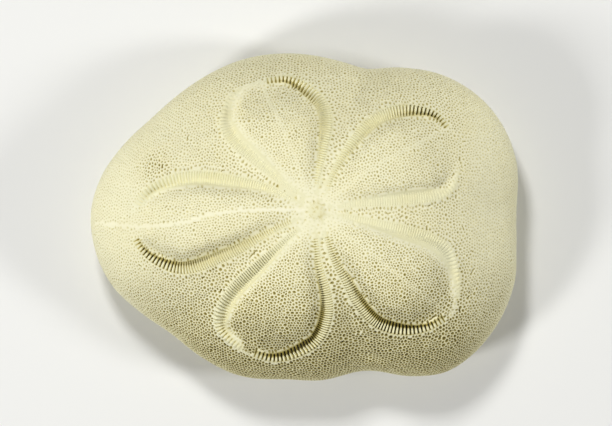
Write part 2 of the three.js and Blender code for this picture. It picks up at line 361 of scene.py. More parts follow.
class Petal:
    """A petal with its two zones, and tests of where plan points lie in it."""

    def __init__(self, shape: PetalShape) -> None:
        """Sets up the petal's zones, outline and middle line.

        Args:
            shape: the petal's measured shape.
        """
        self.name = shape.name
        self.middle = Curve(shape.middle)
        self.paleness = shape.paleness
        self.zones = [Zone(shape, number) for number in (0, 1)]
        self.ring = np.vstack([self.zones[0].lip.samples, self.zones[1].lip.samples[::-1][1:]])
        self.low = self.ring.min(0)
        self.high = self.ring.max(0)
        for zone in self.zones:
            # a point 1 mm to the left of the lip tells which way is inwards
            probe = zone.lip.at(np.array([0.6 * zone.lip.length]), np.array([1.0]))
            zone.inward = 1.0 if self.holds(probe)[0] else -1.0

    def near(self, plan: Array, reach: float) -> Array:
        """Which plan points lie in the petal's box, grown by reach."""
        return ((plan > self.low - reach) & (plan < self.high + reach)).all(axis=1)

    def holds(self, plan: Array) -> Array:
        """Finds the plan points inside the petal's lips.

        Args:
            plan: the plan points.

        Returns:
            True for each point that lies inside.
        """
        inside = np.zeros(len(plan), bool)
        x, y = plan[:, 0], plan[:, 1]
        for (ax, ay), (bx, by) in zip(self.ring, np.roll(self.ring, -1, axis=0)):
            if ay == by:
                continue
            crosses = (ay > y) != (by > y)
            inside ^= crosses & (x < ax + (bx - ax) * (y - ay) / (by - ay))
        return inside


@dataclass(frozen=True)
class UpperSkin:
    """Heights of the upper side, in mm."""

    outline: Outline
    petals: tuple[Petal, ...]
    crown: float = 42.0
    edge: float = 13.0
    crown_roundness: float = 2.3
    edge_roundness: float = 1.7
    petal_swell: float = 2.7
    swell_area: float = 38.0
    apical_radius: float = 2.6
    apical_height: float = 0.5
    valleys: tuple[tuple[float, float, float], ...] = (
        (71, 1.8, 8), (143, 0.8, 15), (218, 1.2, 14), (291, 3.4, 8), (358, 0.8, 10),
    )
    valley_start: tuple[float, float] = (0.3, 0.85)
    valley_end: tuple[float, float] = (0.88, 1.0)
    relief_end: tuple[float, float] = (0.9, 0.99)
    relief_margin: float = 4.0

    def plain(self, share: Array) -> Array:
        """Height of the plain dome."""
        fall = np.maximum(1 - np.power(share, self.crown_roundness), 0)
        return self.edge + (self.crown - self.edge) * np.power(fall, 1 / self.edge_roundness)

    def petal_relief(self, plan: Array) -> Array:
        """Height that the petals and their furrows add to the dome.

        Args:
            plan: the plan points.

        Returns:
            The added height at each point, in mm.
        """
        relief = np.zeros(len(plan))
        for petal in self.petals:
            chosen = np.nonzero(petal.near(plan, self.relief_margin))[0]
            if not len(chosen):
                continue
            points = plan[chosen]
            inside = petal.holds(points)
            added = np.zeros(len(points))
            clear = []
            for zone in petal.zones:
                distance, along = zone.lip.nearest(points)
                width = zone.width(along)
                strength = zone.strength(along)
                beyond = np.maximum(0, distance - width)
                clear.append(beyond)
                added += FURROW.rim_height * strength * np.exp(-((distance / FURROW.rim_reach) ** 2))
                wall = np.sin(np.minimum(distance / width, 1) * np.pi / 2) ** 2
                flank = np.exp(-((beyond / FURROW.flank_reach) ** 2))
                added -= zone.depth * strength * wall * flank * inside
            swell = 1 - np.exp(-clear[0] * clear[1] / self.swell_area)
            added += self.petal_swell * swell * inside
            relief[chosen] += added
        return relief

    def height(self, plan: Array) -> Array:
        """Height of the upper side, without ridges and pits.

        Args:
            plan: the plan points.

        Returns:
            The height at each point, in mm.
        """
        share = self.outline.share(plan)
        turn = np.degrees(np.arctan2(plan[:, 1], plan[:, 0]))
        height = self.plain(share)
        reach = smoothstep(*self.valley_start, share) * (1 - smoothstep(*self.valley_end, share))
        for angle, depth, half_width in self.valleys:
            off = (turn - angle + 180) % 360 - 180
            height -= depth * np.exp(-((off / half_width) ** 2)) * reach
        radius = np.hypot(plan[:, 0], plan[:, 1])
        height += self.apical_height * np.exp(-((radius / self.apical_radius) ** 4))
        return height + self.petal_relief(plan) * (1 - smoothstep(*self.relief_end, share))


@dataclass(frozen=True)
class UnderSkin:
    """Heights of the underside, in mm: a rounded edge, a flat ring, and a hollow that leads to the mouth."""

    outline: Outline
    edge: float = 13.0
    rest_inner: float = 0.74
    rest_outer: float = 0.84
    hollow_depth: float = 11.0
    hollow_power: float = 1.7
    mouth_radius: float = 4.6
    mouth_depth: float = 5.0
    mouth_floor: float = 0.6
    groove_angles: tuple[float, ...] = (184, 113, 33, -38, 251)
    groove_width: float = 1.6
    groove_depth: float = 0.5
    groove_end: float = 0.68
    groove_fade: float = 0.12
    vent_distance: float = 51.5
    vent_radius: float = 1.9
    vent_depth: float = 1.3
    vent_floor: float = 0.3

    def plain(self, share: Array) -> Array:
        """Height of the plain underside.

        Args:
            share: how far out each place lies, from 0 at the apex to 1 on the outline.

        Returns:
            The height at each place, in mm.
        """
        hollow = self.hollow_depth * np.power(np.maximum(1 - share / self.rest_inner, 0), self.hollow_power)
        turn = np.maximum(share - self.rest_outer, 0) / (1 - self.rest_outer)
        return hollow + self.edge * (1 - np.sqrt(np.maximum(0, 1 - turn * turn)))

    def groove_places(self, plan: Array, angle: float) -> tuple[Array, Array]:
        """How far out along a food groove each plan point lies, and how far to its side."""
        direction = np.array([np.cos(np.radians(angle)), np.sin(np.radians(angle))])
        return plan @ direction, plan @ np.array([-direction[1], direction[0]])

    def height(self, plan: Array) -> Array:
        """Height of the underside, without pits.

        Args:
            plan: the plan points.

        Returns:
            The height at each point, in mm.
        """
        share = self.outline.share(plan)
        height = self.plain(share)
        fade = 1 - smoothstep(self.groove_end - self.groove_fade, self.groove_end, share)
        for angle in self.groove_angles:
            out, across = self.groove_places(plan, angle)
            cut = np.exp(-((across / (self.groove_width / 3)) ** 2))
            height += self.groove_depth * fade * cut * (out > 0)
        radius = np.hypot(plan[:, 0], plan[:, 1])
        wall = smoothstep(self.mouth_floor * self.mouth_radius, self.mouth_radius, radius)
        height += self.mouth_depth * (1 - wall)
        off = np.hypot(plan[:, 0] - self.vent_distance, plan[:, 1])
        wall = smoothstep(self.vent_floor * self.vent_radius, self.vent_radius, off)
        return height + self.vent_depth * (1 - wall)


class Unroller:
    """Turns plan points into flat points, where distances along the skin are kept, and back."""

    mean_radius = 57.0

    def __init__(self, outline: Outline, skin: UpperSkin | UnderSkin) -> None:
        """Measures one skin from the apex to the edge.

        Args:
            outline: the test's outline.
            skin: the heights of the upper side or the underside.
        """
        self.outline = outline
        self.shares = 1 - np.linspace(1, 0, 3001) ** 2
        heights = skin.plain(self.shares)
        steps = np.hypot(np.diff(self.shares) * self.mean_radius, np.diff(heights))
        self.reach = np.concatenate([[0.0], np.cumsum(steps)]) / self.mean_radius

    @property
    def end(self) -> float:
        """Flat distance of the edge, as a multiple of the outline's radius."""
        return float(self.reach[-1])

    def flat(self, plan: Array) -> Array:
        """Flat points of plan points.

        Args:
            plan: the plan points.

        Returns:
            The flat points.
        """
        share = self.outline.share(plan)
        stretch = np.interp(share, self.shares, self.reach) / np.maximum(share, 1e-9)
        return plan * stretch[:, None]

    def plan(self, flat: Array) -> Array:
        """Plan points of flat points.

        Args:
            flat: the flat points.

        Returns:
            The plan points.
        """
        angle = np.arctan2(flat[:, 1], flat[:, 0])
        radius = self.outline.radius(angle)
        share = np.interp(np.hypot(flat[:, 0], flat[:, 1]) / radius, self.reach, self.shares)
        return polar(share * radius, angle)

    def edge(self) -> Array:
        """Flat distances of the edge from the apex, all the way round and with the first again at the end."""
        return self.outline.radius(np.linspace(0, 2 * np.pi, 1441)) * self.end

    def edge_gap(self, flat: Array) -> Array:
        """How far inside the edge each flat point lies."""
        radius = self.outline.radius(np.arctan2(flat[:, 1], flat[:, 0]))
        return radius * self.end - np.hypot(flat[:, 0], flat[:, 1])


@dataclass
class Points:
    """Flat points of one skin, with the lift along its normal and how dark and how pale each is painted:
    ochre residue and painted shade, pale lines and painted highlights.
    """

    flat: Array = field(default_factory=lambda: np.zeros((0, 2)))
    lift: Array = field(default_factory=lambda: np.zeros(0))
    stain: Array = field(default_factory=lambda: np.zeros(0))
    pale_and_highlight: Array = field(default_factory=lambda: np.zeros(0))

    def add(self, flat: Array, lift: Array | float = 0.0, stain: Array | float = 0.0,
            pale_and_highlight: Array | float = 0.0) -> None:
        """Adds points.

        Args:
            flat: the new flat points.
            lift: how far each is raised along the skin's normal, in mm.
            stain: how dark each is painted, 0 to 1: ochre residue, and painted shade in pits, slots, creases
                and openings.
            pale_and_highlight: how much whiter than the skin each is painted, 0 to 1: a pale middle line, or
                a painted highlight on the skin between the pits.
        """
        count = len(flat)
        self.flat = np.vstack([self.flat, flat])
        self.lift = np.concatenate([self.lift, np.broadcast_to(lift, count)])
        self.stain = np.concatenate([self.stain, np.broadcast_to(stain, count)])
        self.pale_and_highlight = np.concatenate([self.pale_and_highlight, np.broadcast_to(pale_and_highlight, count)])

    def chosen(self, kept: Array) -> "Points":
        """The points for which kept is true."""
        return Points(self.flat[kept], self.lift[kept], self.stain[kept], self.pale_and_highlight[kept])


@dataclass(frozen=True)
class ResidueAndShade:
    """The darkening of the pits, by ochre residue and by painted shade: the painted shade adds most on the
    left of the animal, and there is less at its front and its rear.

    The pairs of numbers are plan distances in mm, from where a change starts to where it is complete.
    """

    least: float = 1.1
    most: float = 2.3
    # painted shade: the pits grow darker towards the left of the animal
    shaded_left: tuple[float, float] = (0, -48)
    reduced_front: tuple[float, float] = (-25, -60)
    reduced_rear: tuple[float, float] = (38, 50)
    reduction: float = 0.3
    patch: tuple[float, float] = (-47.0, 12.5)
    patch_reach: float = 4.5
    patch_amount: float = 0.6
    # painted shade on the skin between the pits, towards the left of the animal
    skin_shade_left: tuple[float, float] = (-15, -48)
    skin_shade_amount: float = 0.24

    def share(self, plan: Array) -> Array:
        """How dark the pits are made, by residue and by painted shade.

        Args:
            plan: the plan points of the pits.

        Returns:
            The amount in each pit, where 1 fills an even pit.
        """
        reduced = smoothstep(*self.reduced_front, plan[:, 0]) + smoothstep(*self.reduced_rear, plan[:, 0])
        # painted shade, growing towards the left of the animal
        darkening = smoothstep(*self.shaded_left, plan[:, 1])
        amount = (self.least + (self.most - self.least) * darkening) * (1 - self.reduction * reduced)
        off = np.linalg.norm(plan - np.array(self.patch), axis=1)
        return amount + self.patch_amount * np.exp(-((off / self.patch_reach) ** 2))

    def painted_skin_shade(self, plan: Array) -> Array:
        """How much painted shade darkens the skin between the pits, more towards the left of the animal."""
        return self.skin_shade_amount * smoothstep(*self.skin_shade_left, plan[:, 1])


RESIDUE_AND_SHADE = ResidueAndShade()


def ring_profile(ring: Array) -> tuple[Array, Array]:
    """Measures a ring that starts at angle 0.

    Args:
        ring: the ring's points.

    Returns:
        Their angles and radii, with the first point again at the end.
    """
    angle = np.arange(len(ring) + 1) / len(ring) * 2 * np.pi
    radius = np.hypot(ring[:, 0], ring[:, 1])
    return angle, np.append(radius, radius[0])


def join(flat: Array, ring: int) -> Array:
    """Joins flat points into triangles.

    Args:
        flat: the points, of which the first are the edge ring.
        ring: how many points the edge ring has.

    Returns:
        The corners of each triangle, anticlockwise.
    """
    edges = [(i, (i + 1) % ring) for i in range(ring)]
    made = delaunay_2d_cdt([Vector(p) for p in flat.tolist()], edges, [], 1, 1e-6, True)
    order = np.array([source[0] for source in made[3]])
    faces = order[np.array(made[2])]
    # across a notch of the outline the hull's triangles have all three corners on the ring
    spans = (faces < ring).all(axis=1)
    middle = flat[faces].mean(axis=1)
    edge = np.interp(np.arctan2(middle[:, 1], middle[:, 0]) % (2 * np.pi), *ring_profile(flat[:ring]))
    faces = faces[~(spans & (np.hypot(middle[:, 0], middle[:, 1]) > edge))]
    a, b, c = (flat[faces[:, k]] for k in range(3))
    turn = (b[:, 0] - a[:, 0]) * (c[:, 1] - a[:, 1]) - (b[:, 1] - a[:, 1]) * (c[:, 0] - a[:, 0])
    faces[turn < 0] = faces[turn < 0][:, ::-1]
    return faces


def spread(fixed: Array, seeds: Array, ring: int, share: float = 0.6) -> Array:
    """Evens out points, by moving each part of the way to the middle of its neighbours.

    Args:
        fixed: points that don't move, the edge ring first.
        seeds: the points that move.
        ring: how many points the edge ring has.
        share: how much of the way they move.

    Returns:
        The moved points.
    """
    flat = np.vstack([fixed, seeds])
    faces = join(flat, ring)
    pairs = np.vstack([faces[:, [0, 1]], faces[:, [1, 2]], faces[:, [2, 0]]])
    total = np.zeros_like(flat)
    count = np.zeros(len(flat))
    np.add.at(total, pairs[:, 0], flat[pairs[:, 1]])
    np.add.at(count, pairs[:, 0], 1)
    middle = total / np.maximum(count, 1)[:, None]
    return seeds + share * (middle[len(fixed):] - seeds)


def thin_out(flat: Array, kept: Array, least: float) -> Array:
    """Finds the points of a set that aren't too close to others.

    Args:
        flat: the points.
        kept: points that stay whatever lies near them.
        least: the least distance to a kept point, or to an earlier point that isn't dropped.

    Returns:
        False for each point that is too close, and True for the others.
    """
    tree = KDTree(len(flat) + len(kept))
    for i, (x, y) in enumerate(np.vstack([kept, flat]).tolist()):
        tree.insert((x, y, 0.0), i)
    tree.balance()
    first = len(kept)
    dropped = set()
    for i, (x, y) in enumerate(flat.tolist()):
        for _, j, _ in tree.find_range((x, y, 0.0), least):
            if j < i + first and j - first not in dropped:
                dropped.add(i)
                break
    return np.array([i not in dropped for i in range(len(flat))])


@dataclass(frozen=True)
class TubercleSizes:
    """Sizes of the tubercles and of the sunken rings that they stand in, in mm.

    The skin between the rings is painted whiter than the smooth bands, as a painted highlight of the skin
    between the pits, by a share given below. A seed is a place where a tubercle may grow: it is dropped if it
    lies closer than its gap to a furrow's point or to another seed, once before the seeds are evened out and
    once after. The unevenness of the rows is in multiples of the jitter, the sink of the edge in pit depths,
    and the gap of the fillers in their spacing.
    """

    petal_spacing: float = 0.78
    petal_sweep: float = 0.3
    ground_spacing: float = 0.82
    edge_spacing: float = 1.15
    edge_gap: float = 0.55
    edge_clear: float = 0.35
    edge_sink: float = 0.4
    edge_darkening: float = 0.45
    filler_margin: float = 0.4
    filler_gap: float = 0.94
    under_spacing: float = 1.5
    under_widening: tuple[float, float] = (4, 18)
    jitter: float = 0.13
    ground_unevenness: float = 1.4
    under_unevenness: float = 1.8
    first_seed_gap: float = 0.58
    last_seed_gap: float = 0.52
    shortest_side: float = 0.3
    pit_depth: float = 0.4
    pit_unevenness: tuple[float, float] = (0.7, 1.2)
    weak_pit: float = 0.4
    strongest_pit: float = 1.2
    darkening_unevenness: tuple[float, float] = (0.75, 1.0)
    plain_stain: float = 0.25
    skin_inset: float = 0.09
    chalky_highlight: float = 0.45
    boss_radius: float = 0.2
    boss_unevenness: tuple[float, float] = (0.85, 1.15)
    boss_proud: float = 0.03
    dome_sides: int = 6
    dome_rings: tuple[tuple[float, float, float], ...] = (
        (1.0, -0.2, 1.0), (0.8, 0.4, 0.9), (0.5, 0.88, 0.5),
    )
    tip_stain: float = 0.3


TUBERCLE = TubercleSizes()


@dataclass(frozen=True)
class CombSizes:
    """The comb of a furrow: ridges and grooves, each drawn as lines of points across it.

    across gives the places of the points, from outside the lip to past the comb, as shares of its width.
    crest and groove give their rise as a share of the comb's, and their darkening, which in the grooves
    is mostly painted shade of the deep slots. phases gives the places of the lines as shares of the pitch,
    and whether each is a groove.
    """

    across: tuple[float, ...] = (-0.1, 0.04, 0.16, 0.55, 0.92, 1.1)
    crest: tuple[tuple[float, ...], ...] = ((0.0, 0.2, 0.8, 1.0, 0.5, 0.0), (0.0, 0.5, 0.1, 0.1, 0.9, 0.8))
    groove: tuple[tuple[float, ...], ...] = (
        (0.0, -0.9, -1.2, -0.9, -1.3, -0.4), (0.0, 1.2, 1.1, 1.4, 2.0, 1.6),
    )
    phases: tuple[tuple[float, bool], ...] = (
        (0.0, False), (0.2, False), (0.4, True), (0.6, True), (0.8, False),
    )
    outer_pore: tuple[float, float] = (0.4, 0.04)
    pore_shade: float = 0.7
    least_darkness: float = 0.2
    faint_rise: float = 0.04
    shallow_rise: float = 0.12
    deep_rise: float = 0.5
    dark_from: float = 0.25
    dark_delay: float = 1.3
    dark_latest: float = 0.5
    dark_run: float = 0.35
    dark_inner: float = 0.35
    dark_faint: float = 0.15
    dark_strong: float = 1.0
    dark_drop_end: float = 0.15
    dark_drop: float = 0.4

    def rise(self, zone: Zone, along: Array) -> Array:
        """Rise of the ridges at a share of the lip, in mm."""
        return self.faint_rise + zone.comb * (self.shallow_rise + self.deep_rise * zone.strength(along))

    def darkening(self, zone: Zone, along: Array) -> Array:
        """Finds how dark the comb is painted, mostly painted shade in its slots with some ochre residue,
        which is more in the outer half and a little less at the end.

        Args:
            zone: the band of pores.
            along: places on the comb, as shares of the lip.

        Returns:
            The amount at each place.
        """
        onset = min(self.dark_from + self.dark_delay * (1 - zone.comb), self.dark_latest)
        outer = smoothstep(onset, onset + self.dark_run, along)
        darkening = self.dark_faint + self.dark_strong * zone.comb**2
        darkening = darkening * (self.dark_inner + (1 - self.dark_inner) * outer)
        return darkening * (1 - self.dark_drop * smoothstep(zone.end - self.dark_drop_end, zone.end, along))


COMB = CombSizes()


@dataclass(frozen=True)
class BandSizes:
    """The smooth bands beside a furrow, where no tubercles stand, in mm."""

    step: float = 0.8
    end_gap: float = 0.08
    widening: tuple[float, float] = (0.1, 0.4)
    rim_off: float = -0.3
    rim_clear: float = 0.5
    foot_width: float = 1.15
    foot_band: float = 0.3
    stain: float = 0.25
    foot_shade: float = 0.4
    clear_width: float = 1.1
    clear_band: float = 0.25
    clear: float = 0.25
    faint: float = 0.2
    faint_from: float = -0.3
    faint_band: float = 1.2
    faint_rest: float = 0.1
    margin: float = 2.0

    def wide(self, along: Array) -> Array:
        """How far the band has widened at a share of the lip, from 0 to 1."""
        return smoothstep(*self.widening, along)


BAND = BandSizes()


@dataclass(frozen=True)
class LineSizes:
    """The smooth pale line along the middle of a petal, in mm."""

    least_paleness: float = 0.5
    end_gap: float = 0.8
    step: float = 0.65
    jitter: float = 0.16
    fading: tuple[float, float] = (0.45, 0.1)
    faded: float = 0.75
    stain: float = 0.25
    stain_drop: float = 0.2
    clear_reach: float = 0.6


LINE = LineSizes()


@dataclass(frozen=True)
class PlateSizes:
    """The finely pored plate at the apex, and the five pores round it, in mm."""

    reach: float = 2.4
    step: float = 0.42
    jitter: float = 0.05
    pored: float = 0.35
    pore_lift: float = -0.08
    ridge_lift: float = 0.02
    stain: float = 0.22
    pore_shade: float = 0.3
    clear_radius: float = 2.8
    gonopores: tuple[tuple[float, float], ...] = (
        (-9.1, 5.8), (1.9, 8.2), (1.8, -8.2), (-8.9, -5.3), (9.1, 0),
    )
    gonopore_radius: float = 0.24
    gonopore_sides: int = 8
    # each ring of a gonopore: radius as a share of the pore's, lift, and darkness, which is painted shade of
    # the opening
    gonopore_rings: tuple[tuple[float, float, float], ...] = (
        (0.0, -0.5, 0.8), (0.6, -0.3, 0.6), (1.2, 0.0, 0.0),
    )


PLATE = PlateSizes()


def edge_row(edge: Array, gap: float, space: float, number: int) -> Array:
    """Makes one row of points that follows the edge.

    Args:
        edge: flat distances of the edge from the apex, all the way round and with the first again at the end.
        gap: how far inside the edge the row lies.
        space: how far apart its points are.
        number: the number of the row, as each second row is shifted by half a space.

    Returns:
        The flat points of the row.
    """
    row = polar(np.maximum(edge - gap, 0.01), np.linspace(0, 2 * np.pi, len(edge)))
    run = run_along(row)
    count = max(int(run[-1] / space), 3)
    even = (np.arange(count) + 0.5 * (number % 2)) / count * run[-1]
    return np.stack([np.interp(even, run, row[:, j]) for j in (0, 1)], axis=1)


class UpperLayout:
    """Places every point of the upper skin: ridges, smooth bands, middle lines, plate, pits and corners."""

    brown_spots = (
        (42.1, 14.0), (41.3, -21.6), (41.2, -22.6), (41.4, -23.6), (41.2, -24.7), (41.1, -25.8),
    )
    spot_radius = 0.34
    spot_sides = 6
    spot_lift = -0.12
    spot_stain = 1.1
    spot_rim_stain = 0.4
    apex_strength = 0.62
    outer_gain = 0.33
    outer_radii = (4, 12)
    least_gap = 0.12
    lattice_rows = 24
    lattice_length = 70
    axis_sample = 150

    def __init__(self, outline: Outline, petals: tuple[Petal, ...], unroller: Unroller,
                 rng: np.random.Generator) -> None:
        """Keeps what the points are worked out from.

        Args:
            outline: the test's outline.
            petals: its five petals.
            unroller: turns plan points into the upper skin's flat points.
            rng: the source of uneven places.
        """
        self.outline = outline
        self.petals = petals
        self.unroller = unroller
        self.rng = rng
        self.points = Points()

    def zone_rows(self, zone: Zone) -> None:
        """Adds the comb of one zone: crests, shoulders and grooves at six places across the furrow.

        Args:
            zone: the band of pores.
        """
        starts = zone.ridges()
        for phase, is_groove in COMB.phases:
            rises, stain_and_shade_shares = COMB.groove if is_groove else COMB.crest
            run = starts + phase * zone.pitch(starts / zone.lip.length)
            along = run / zone.lip.length
            width = zone.comb_width(along)
            height = COMB.rise(zone, along)
            # painted shade: the slots darken with the comb's strength, most in the outer half of the lip
            darkening = COMB.darkening(zone, along)
            for share, rise, dirt_and_shade in zip(COMB.across, rises, stain_and_shade_shares):
                flat = self.unroller.flat(zone.lip.at(run, zone.inward * share * width))
                # the outer pores make a thin line of dots along every lip, also where the comb is faint,
                # painted dark as the shade in their openings
                least = COMB.pore_shade if (phase, share) == COMB.outer_pore else COMB.least_darkness
                self.points.add(flat, rise * height, np.maximum(dirt_and_shade * darkening, least))

    def smooth_rows(self, zone: Zone) -> None:
        """Adds the smooth rim outside a lip and the smooth foot of the petal inside it, both painted a little
        darker, and the foot more where the comb is strong: painted shade of the band and of the trench.

        Args:
            zone: the lip's band of pores.
        """
        run = np.arange(FURROW.first_ridge, zone.lip.length * (zone.end - BAND.end_gap), BAND.step)
        along = run / zone.lip.length
        rim = np.full_like(run, BAND.rim_off)
        foot = BAND.foot_width * zone.comb_width(along) + BAND.foot_band * zone.band * BAND.wide(along)
        # painted shade: the rim and the foot are darkened a little, the foot more where the comb is strong
        for off, stain in ((rim, BAND.stain), (foot, BAND.stain + BAND.foot_shade * zone.comb**2)):
            self.points.add(self.unroller.flat(zone.lip.at(run, zone.inward * off)), 0.0, stain)

    def middle_line(self, petal: Petal) -> None:
        """Adds the smooth pale line along the middle of a petal, if it shows, and on to the edge.

        Args:
            petal: the petal.
        """
        if petal.paleness < LINE.least_paleness:
            return
        run = np.arange(LINE.end_gap, petal.middle.length - LINE.end_gap, LINE.step)
        fade = LINE.faded + (1 - LINE.faded) * smoothstep(*LINE.fading, run / petal.middle.length)
        flat = self.unroller.flat(petal.middle.at(run, self.rng.normal(0, LINE.jitter, len(run))))
        self.points.add(flat, 0.0, LINE.stain - LINE.stain_drop * fade, fade * petal.paleness)

    def apical_plate(self) -> None:
        """Adds the finely pored plate at the apex, and the five pores round it."""
        reach = PLATE.reach
        grid = np.mgrid[-reach:reach:PLATE.step, -reach:reach:PLATE.step].reshape(2, -1).T
        grid = grid + self.rng.normal(0, PLATE.jitter, grid.shape)
        grid = grid[np.hypot(grid[:, 0], grid[:, 1]) < reach]
        pored = self.rng.random(len(grid)) < PLATE.pored
        # the pores of the plate are sunken and painted darker: painted shade in them
        lift = np.where(pored, PLATE.pore_lift, PLATE.ridge_lift)
        self.points.add(self.unroller.flat(grid), lift, PLATE.pore_shade * pored + PLATE.stain)
        turn = even_turn(PLATE.gonopore_sides)
        for place in PLATE.gonopores:
            for radius, lift, stain in PLATE.gonopore_rings:
                count = 1 if radius == 0 else len(turn)
                ring = np.array(place) + polar(np.full(count, radius * PLATE.gonopore_radius), turn[:count])
                self.points.add(self.unroller.flat(ring), lift, stain)

    def stained_pores(self) -> None:
        """Adds the few pores that hold a brown spot."""
        rim = polar(np.full(self.spot_sides, self.spot_radius), even_turn(self.spot_sides))
        for place in self.brown_spots:
            self.points.add(self.unroller.flat(np.array([place])), self.spot_lift, self.spot_stain)
            self.points.add(self.unroller.flat(np.array(place) + rim), stain=self.spot_rim_stain)

    def lattice_in(self, petal: Petal) -> Array:
        """Seeds of a petal's tubercles, in rows that sweep outwards from its middle line on both sides.

        Args:
            petal: the petal.

        Returns:
            Plan points, some of which lie past the petal.
        """
        start = petal.middle.samples[0]
        axis = petal.middle.samples[self.axis_sample] - start
        axis = axis / np.linalg.norm(axis)
        side = np.array([-axis[1], axis[0]])
        space = TUBERCLE.petal_spacing
        rows = (np.arange(-self.lattice_rows, self.lattice_rows) + 0.5) * space * ROW_STEP
        along, across = np.meshgrid(np.arange(self.lattice_length) * space, rows, indexing="ij")
        along = along + 0.5 * space * (np.arange(len(rows)) % 2) + TUBERCLE.petal_sweep * np.abs(across)
        return start + along.reshape(-1, 1) * axis + across.reshape(-1, 1) * side

    def ground_rows(self) -> Array:
        """Seeds of the tubercles between the petals, in rows that follow the edge.

        They lie further apart where the skin falls away, so the rows look even from above.

        Returns:
            Flat points, some of which lie in the petals.
        """
        rows = []
        edge = self.unroller.edge()
        lean = np.gradient(self.unroller.shares, self.unroller.reach)
        gap = TUBERCLE.edge_gap
        while gap < edge.max():
            reach = self.unroller.end - gap / self.unroller.mean_radius
            flatness = float(np.interp(reach, self.unroller.reach, lean))
            space = min(TUBERCLE.ground_spacing / flatness, TUBERCLE.edge_spacing)
            rows.append(edge_row(edge, gap, 0.5 * (space + TUBERCLE.ground_spacing), len(rows)))
            gap += ROW_STEP * space
        return np.vstack(rows)

    def strength(self, flat: Array) -> Array:
        """How deep and how dark the pits are.

        Args:
            flat: the flat points.

        Returns:
            The strength at each point, and 0 where no tubercle stands, as in furrows and on the plate.
        """
        plan = self.unroller.plan(flat)
        radius = np.hypot(plan[:, 0], plan[:, 1])
        strength = self.apex_strength + self.outer_gain * smoothstep(*self.outer_radii, radius)
        strength = strength * (radius > PLATE.clear_radius)
        for petal in self.petals:
            near = np.nonzero(petal.near(plan, BAND.margin))[0]
            points = plan[near]
            inside = petal.holds(points)
            for zone in petal.zones:
                distance, along = zone.lip.nearest(points)
                present = zone.present(along)
                band = BAND.clear_width * zone.comb_width(along) + BAND.clear
                band = band + BAND.clear_band * zone.band * BAND.wide(along)
                beyond = distance - band * present
                full_at = BAND.faint_band * zone.band + BAND.faint_rest
                weak = BAND.faint + (1 - BAND.faint) * smoothstep(BAND.faint_from, full_at, beyond)
                strength[near] *= np.where(inside, weak * (beyond > 0), distance > BAND.rim_clear * present)
            distance, _ = petal.middle.nearest(points)
            strength[near] *= 1 - inside * petal.paleness * np.exp(-((distance / LINE.clear_reach) ** 2))
        return strength * RESIDUE_AND_SHADE.share(plan)

    def seeds(self) -> Array:
        """Places the upper side's tubercles.

        Returns:
            Their flat points.
        """
        ground = self.ground_rows()
        uneven = TUBERCLE.ground_unevenness * TUBERCLE.jitter
        ground = ground + self.rng.normal(0, uneven, ground.shape)
        ground = ground[self.unroller.edge_gap(ground) > TUBERCLE.edge_clear]
        plan = self.unroller.plan(ground)
        found = [ground[~np.any([petal.holds(plan) for petal in self.petals], axis=0)]]
        for petal in self.petals:
            own = self.lattice_in(petal)
            own = own + self.rng.normal(0, TUBERCLE.jitter, own.shape)
            found.append(self.unroller.flat(own[petal.holds(own)]))
        return np.vstack(found)

    def lay_out(self, edge_count: int) -> tuple[Points, Array]:
        """Places all points.

        Args:
            edge_count: how many points the edge ring has.

        Returns:
            The points, and which of them are tubercles.
        """
        ring = self.outline.ring(edge_count)
        # each second point of the edge is sunken and darkened like a pit, with residue and painted shade, so
        # the edge isn't a bright line
        sunken = np.arange(edge_count) % 2
        self.points.add(self.unroller.flat(ring), -TUBERCLE.edge_sink * TUBERCLE.pit_depth * sunken,
                        TUBERCLE.edge_darkening * sunken * RESIDUE_AND_SHADE.share(ring))
        for petal in self.petals:
            for zone in petal.zones:
                self.zone_rows(zone)
                self.smooth_rows(zone)
        for petal in self.petals:
            self.middle_line(petal)
        self.apical_plate()
        self.stained_pores()
        firm = self.points.flat
        clear = thin_out(firm[edge_count:], firm[:edge_count], self.least_gap)
        kept = np.concatenate([np.ones(edge_count, bool), clear])
        points, is_tubercle = add_tubercles(self.points.chosen(kept), self.seeds(), self.strength,
                                            TUBERCLE.petal_spacing, edge_count, self.rng)
        # painted shade: the skin between the pits darkens towards the left of the animal
        points.stain = np.maximum(points.stain, RESIDUE_AND_SHADE.painted_skin_shade(self.unroller.plan(points.flat)))
        return points, is_tubercle


def fillers(flat: Array, ring: int, space: float) -> Array:
    """Finds points for the places where a skin would have none for a while.

    Args:
        flat: the points so far.
        ring: how many points at the start are the edge ring.
        space: how far apart the new points may be.

    Returns:
        The points to add.
    """
    low, high = flat.min(0), flat.max(0)
    x, y = np.meshgrid(np.arange(low[0], high[0], space), np.arange(low[1], high[1], space * ROW_STEP))
    shift = 0.5 * space * (np.arange(len(y))[:, None] % 2)
    grid = np.stack([x + shift, y], axis=-1).reshape(-1, 2)
    angle = np.arctan2(grid[:, 1], grid[:, 0]) % (2 * np.pi)
    edge = np.interp(angle, *ring_profile(flat[:ring]))
    grid = grid[np.hypot(grid[:, 0], grid[:, 1]) < edge - TUBERCLE.filler_margin]
    return grid[thin_out(grid, flat[ring:], TUBERCLE.filler_gap * space)]


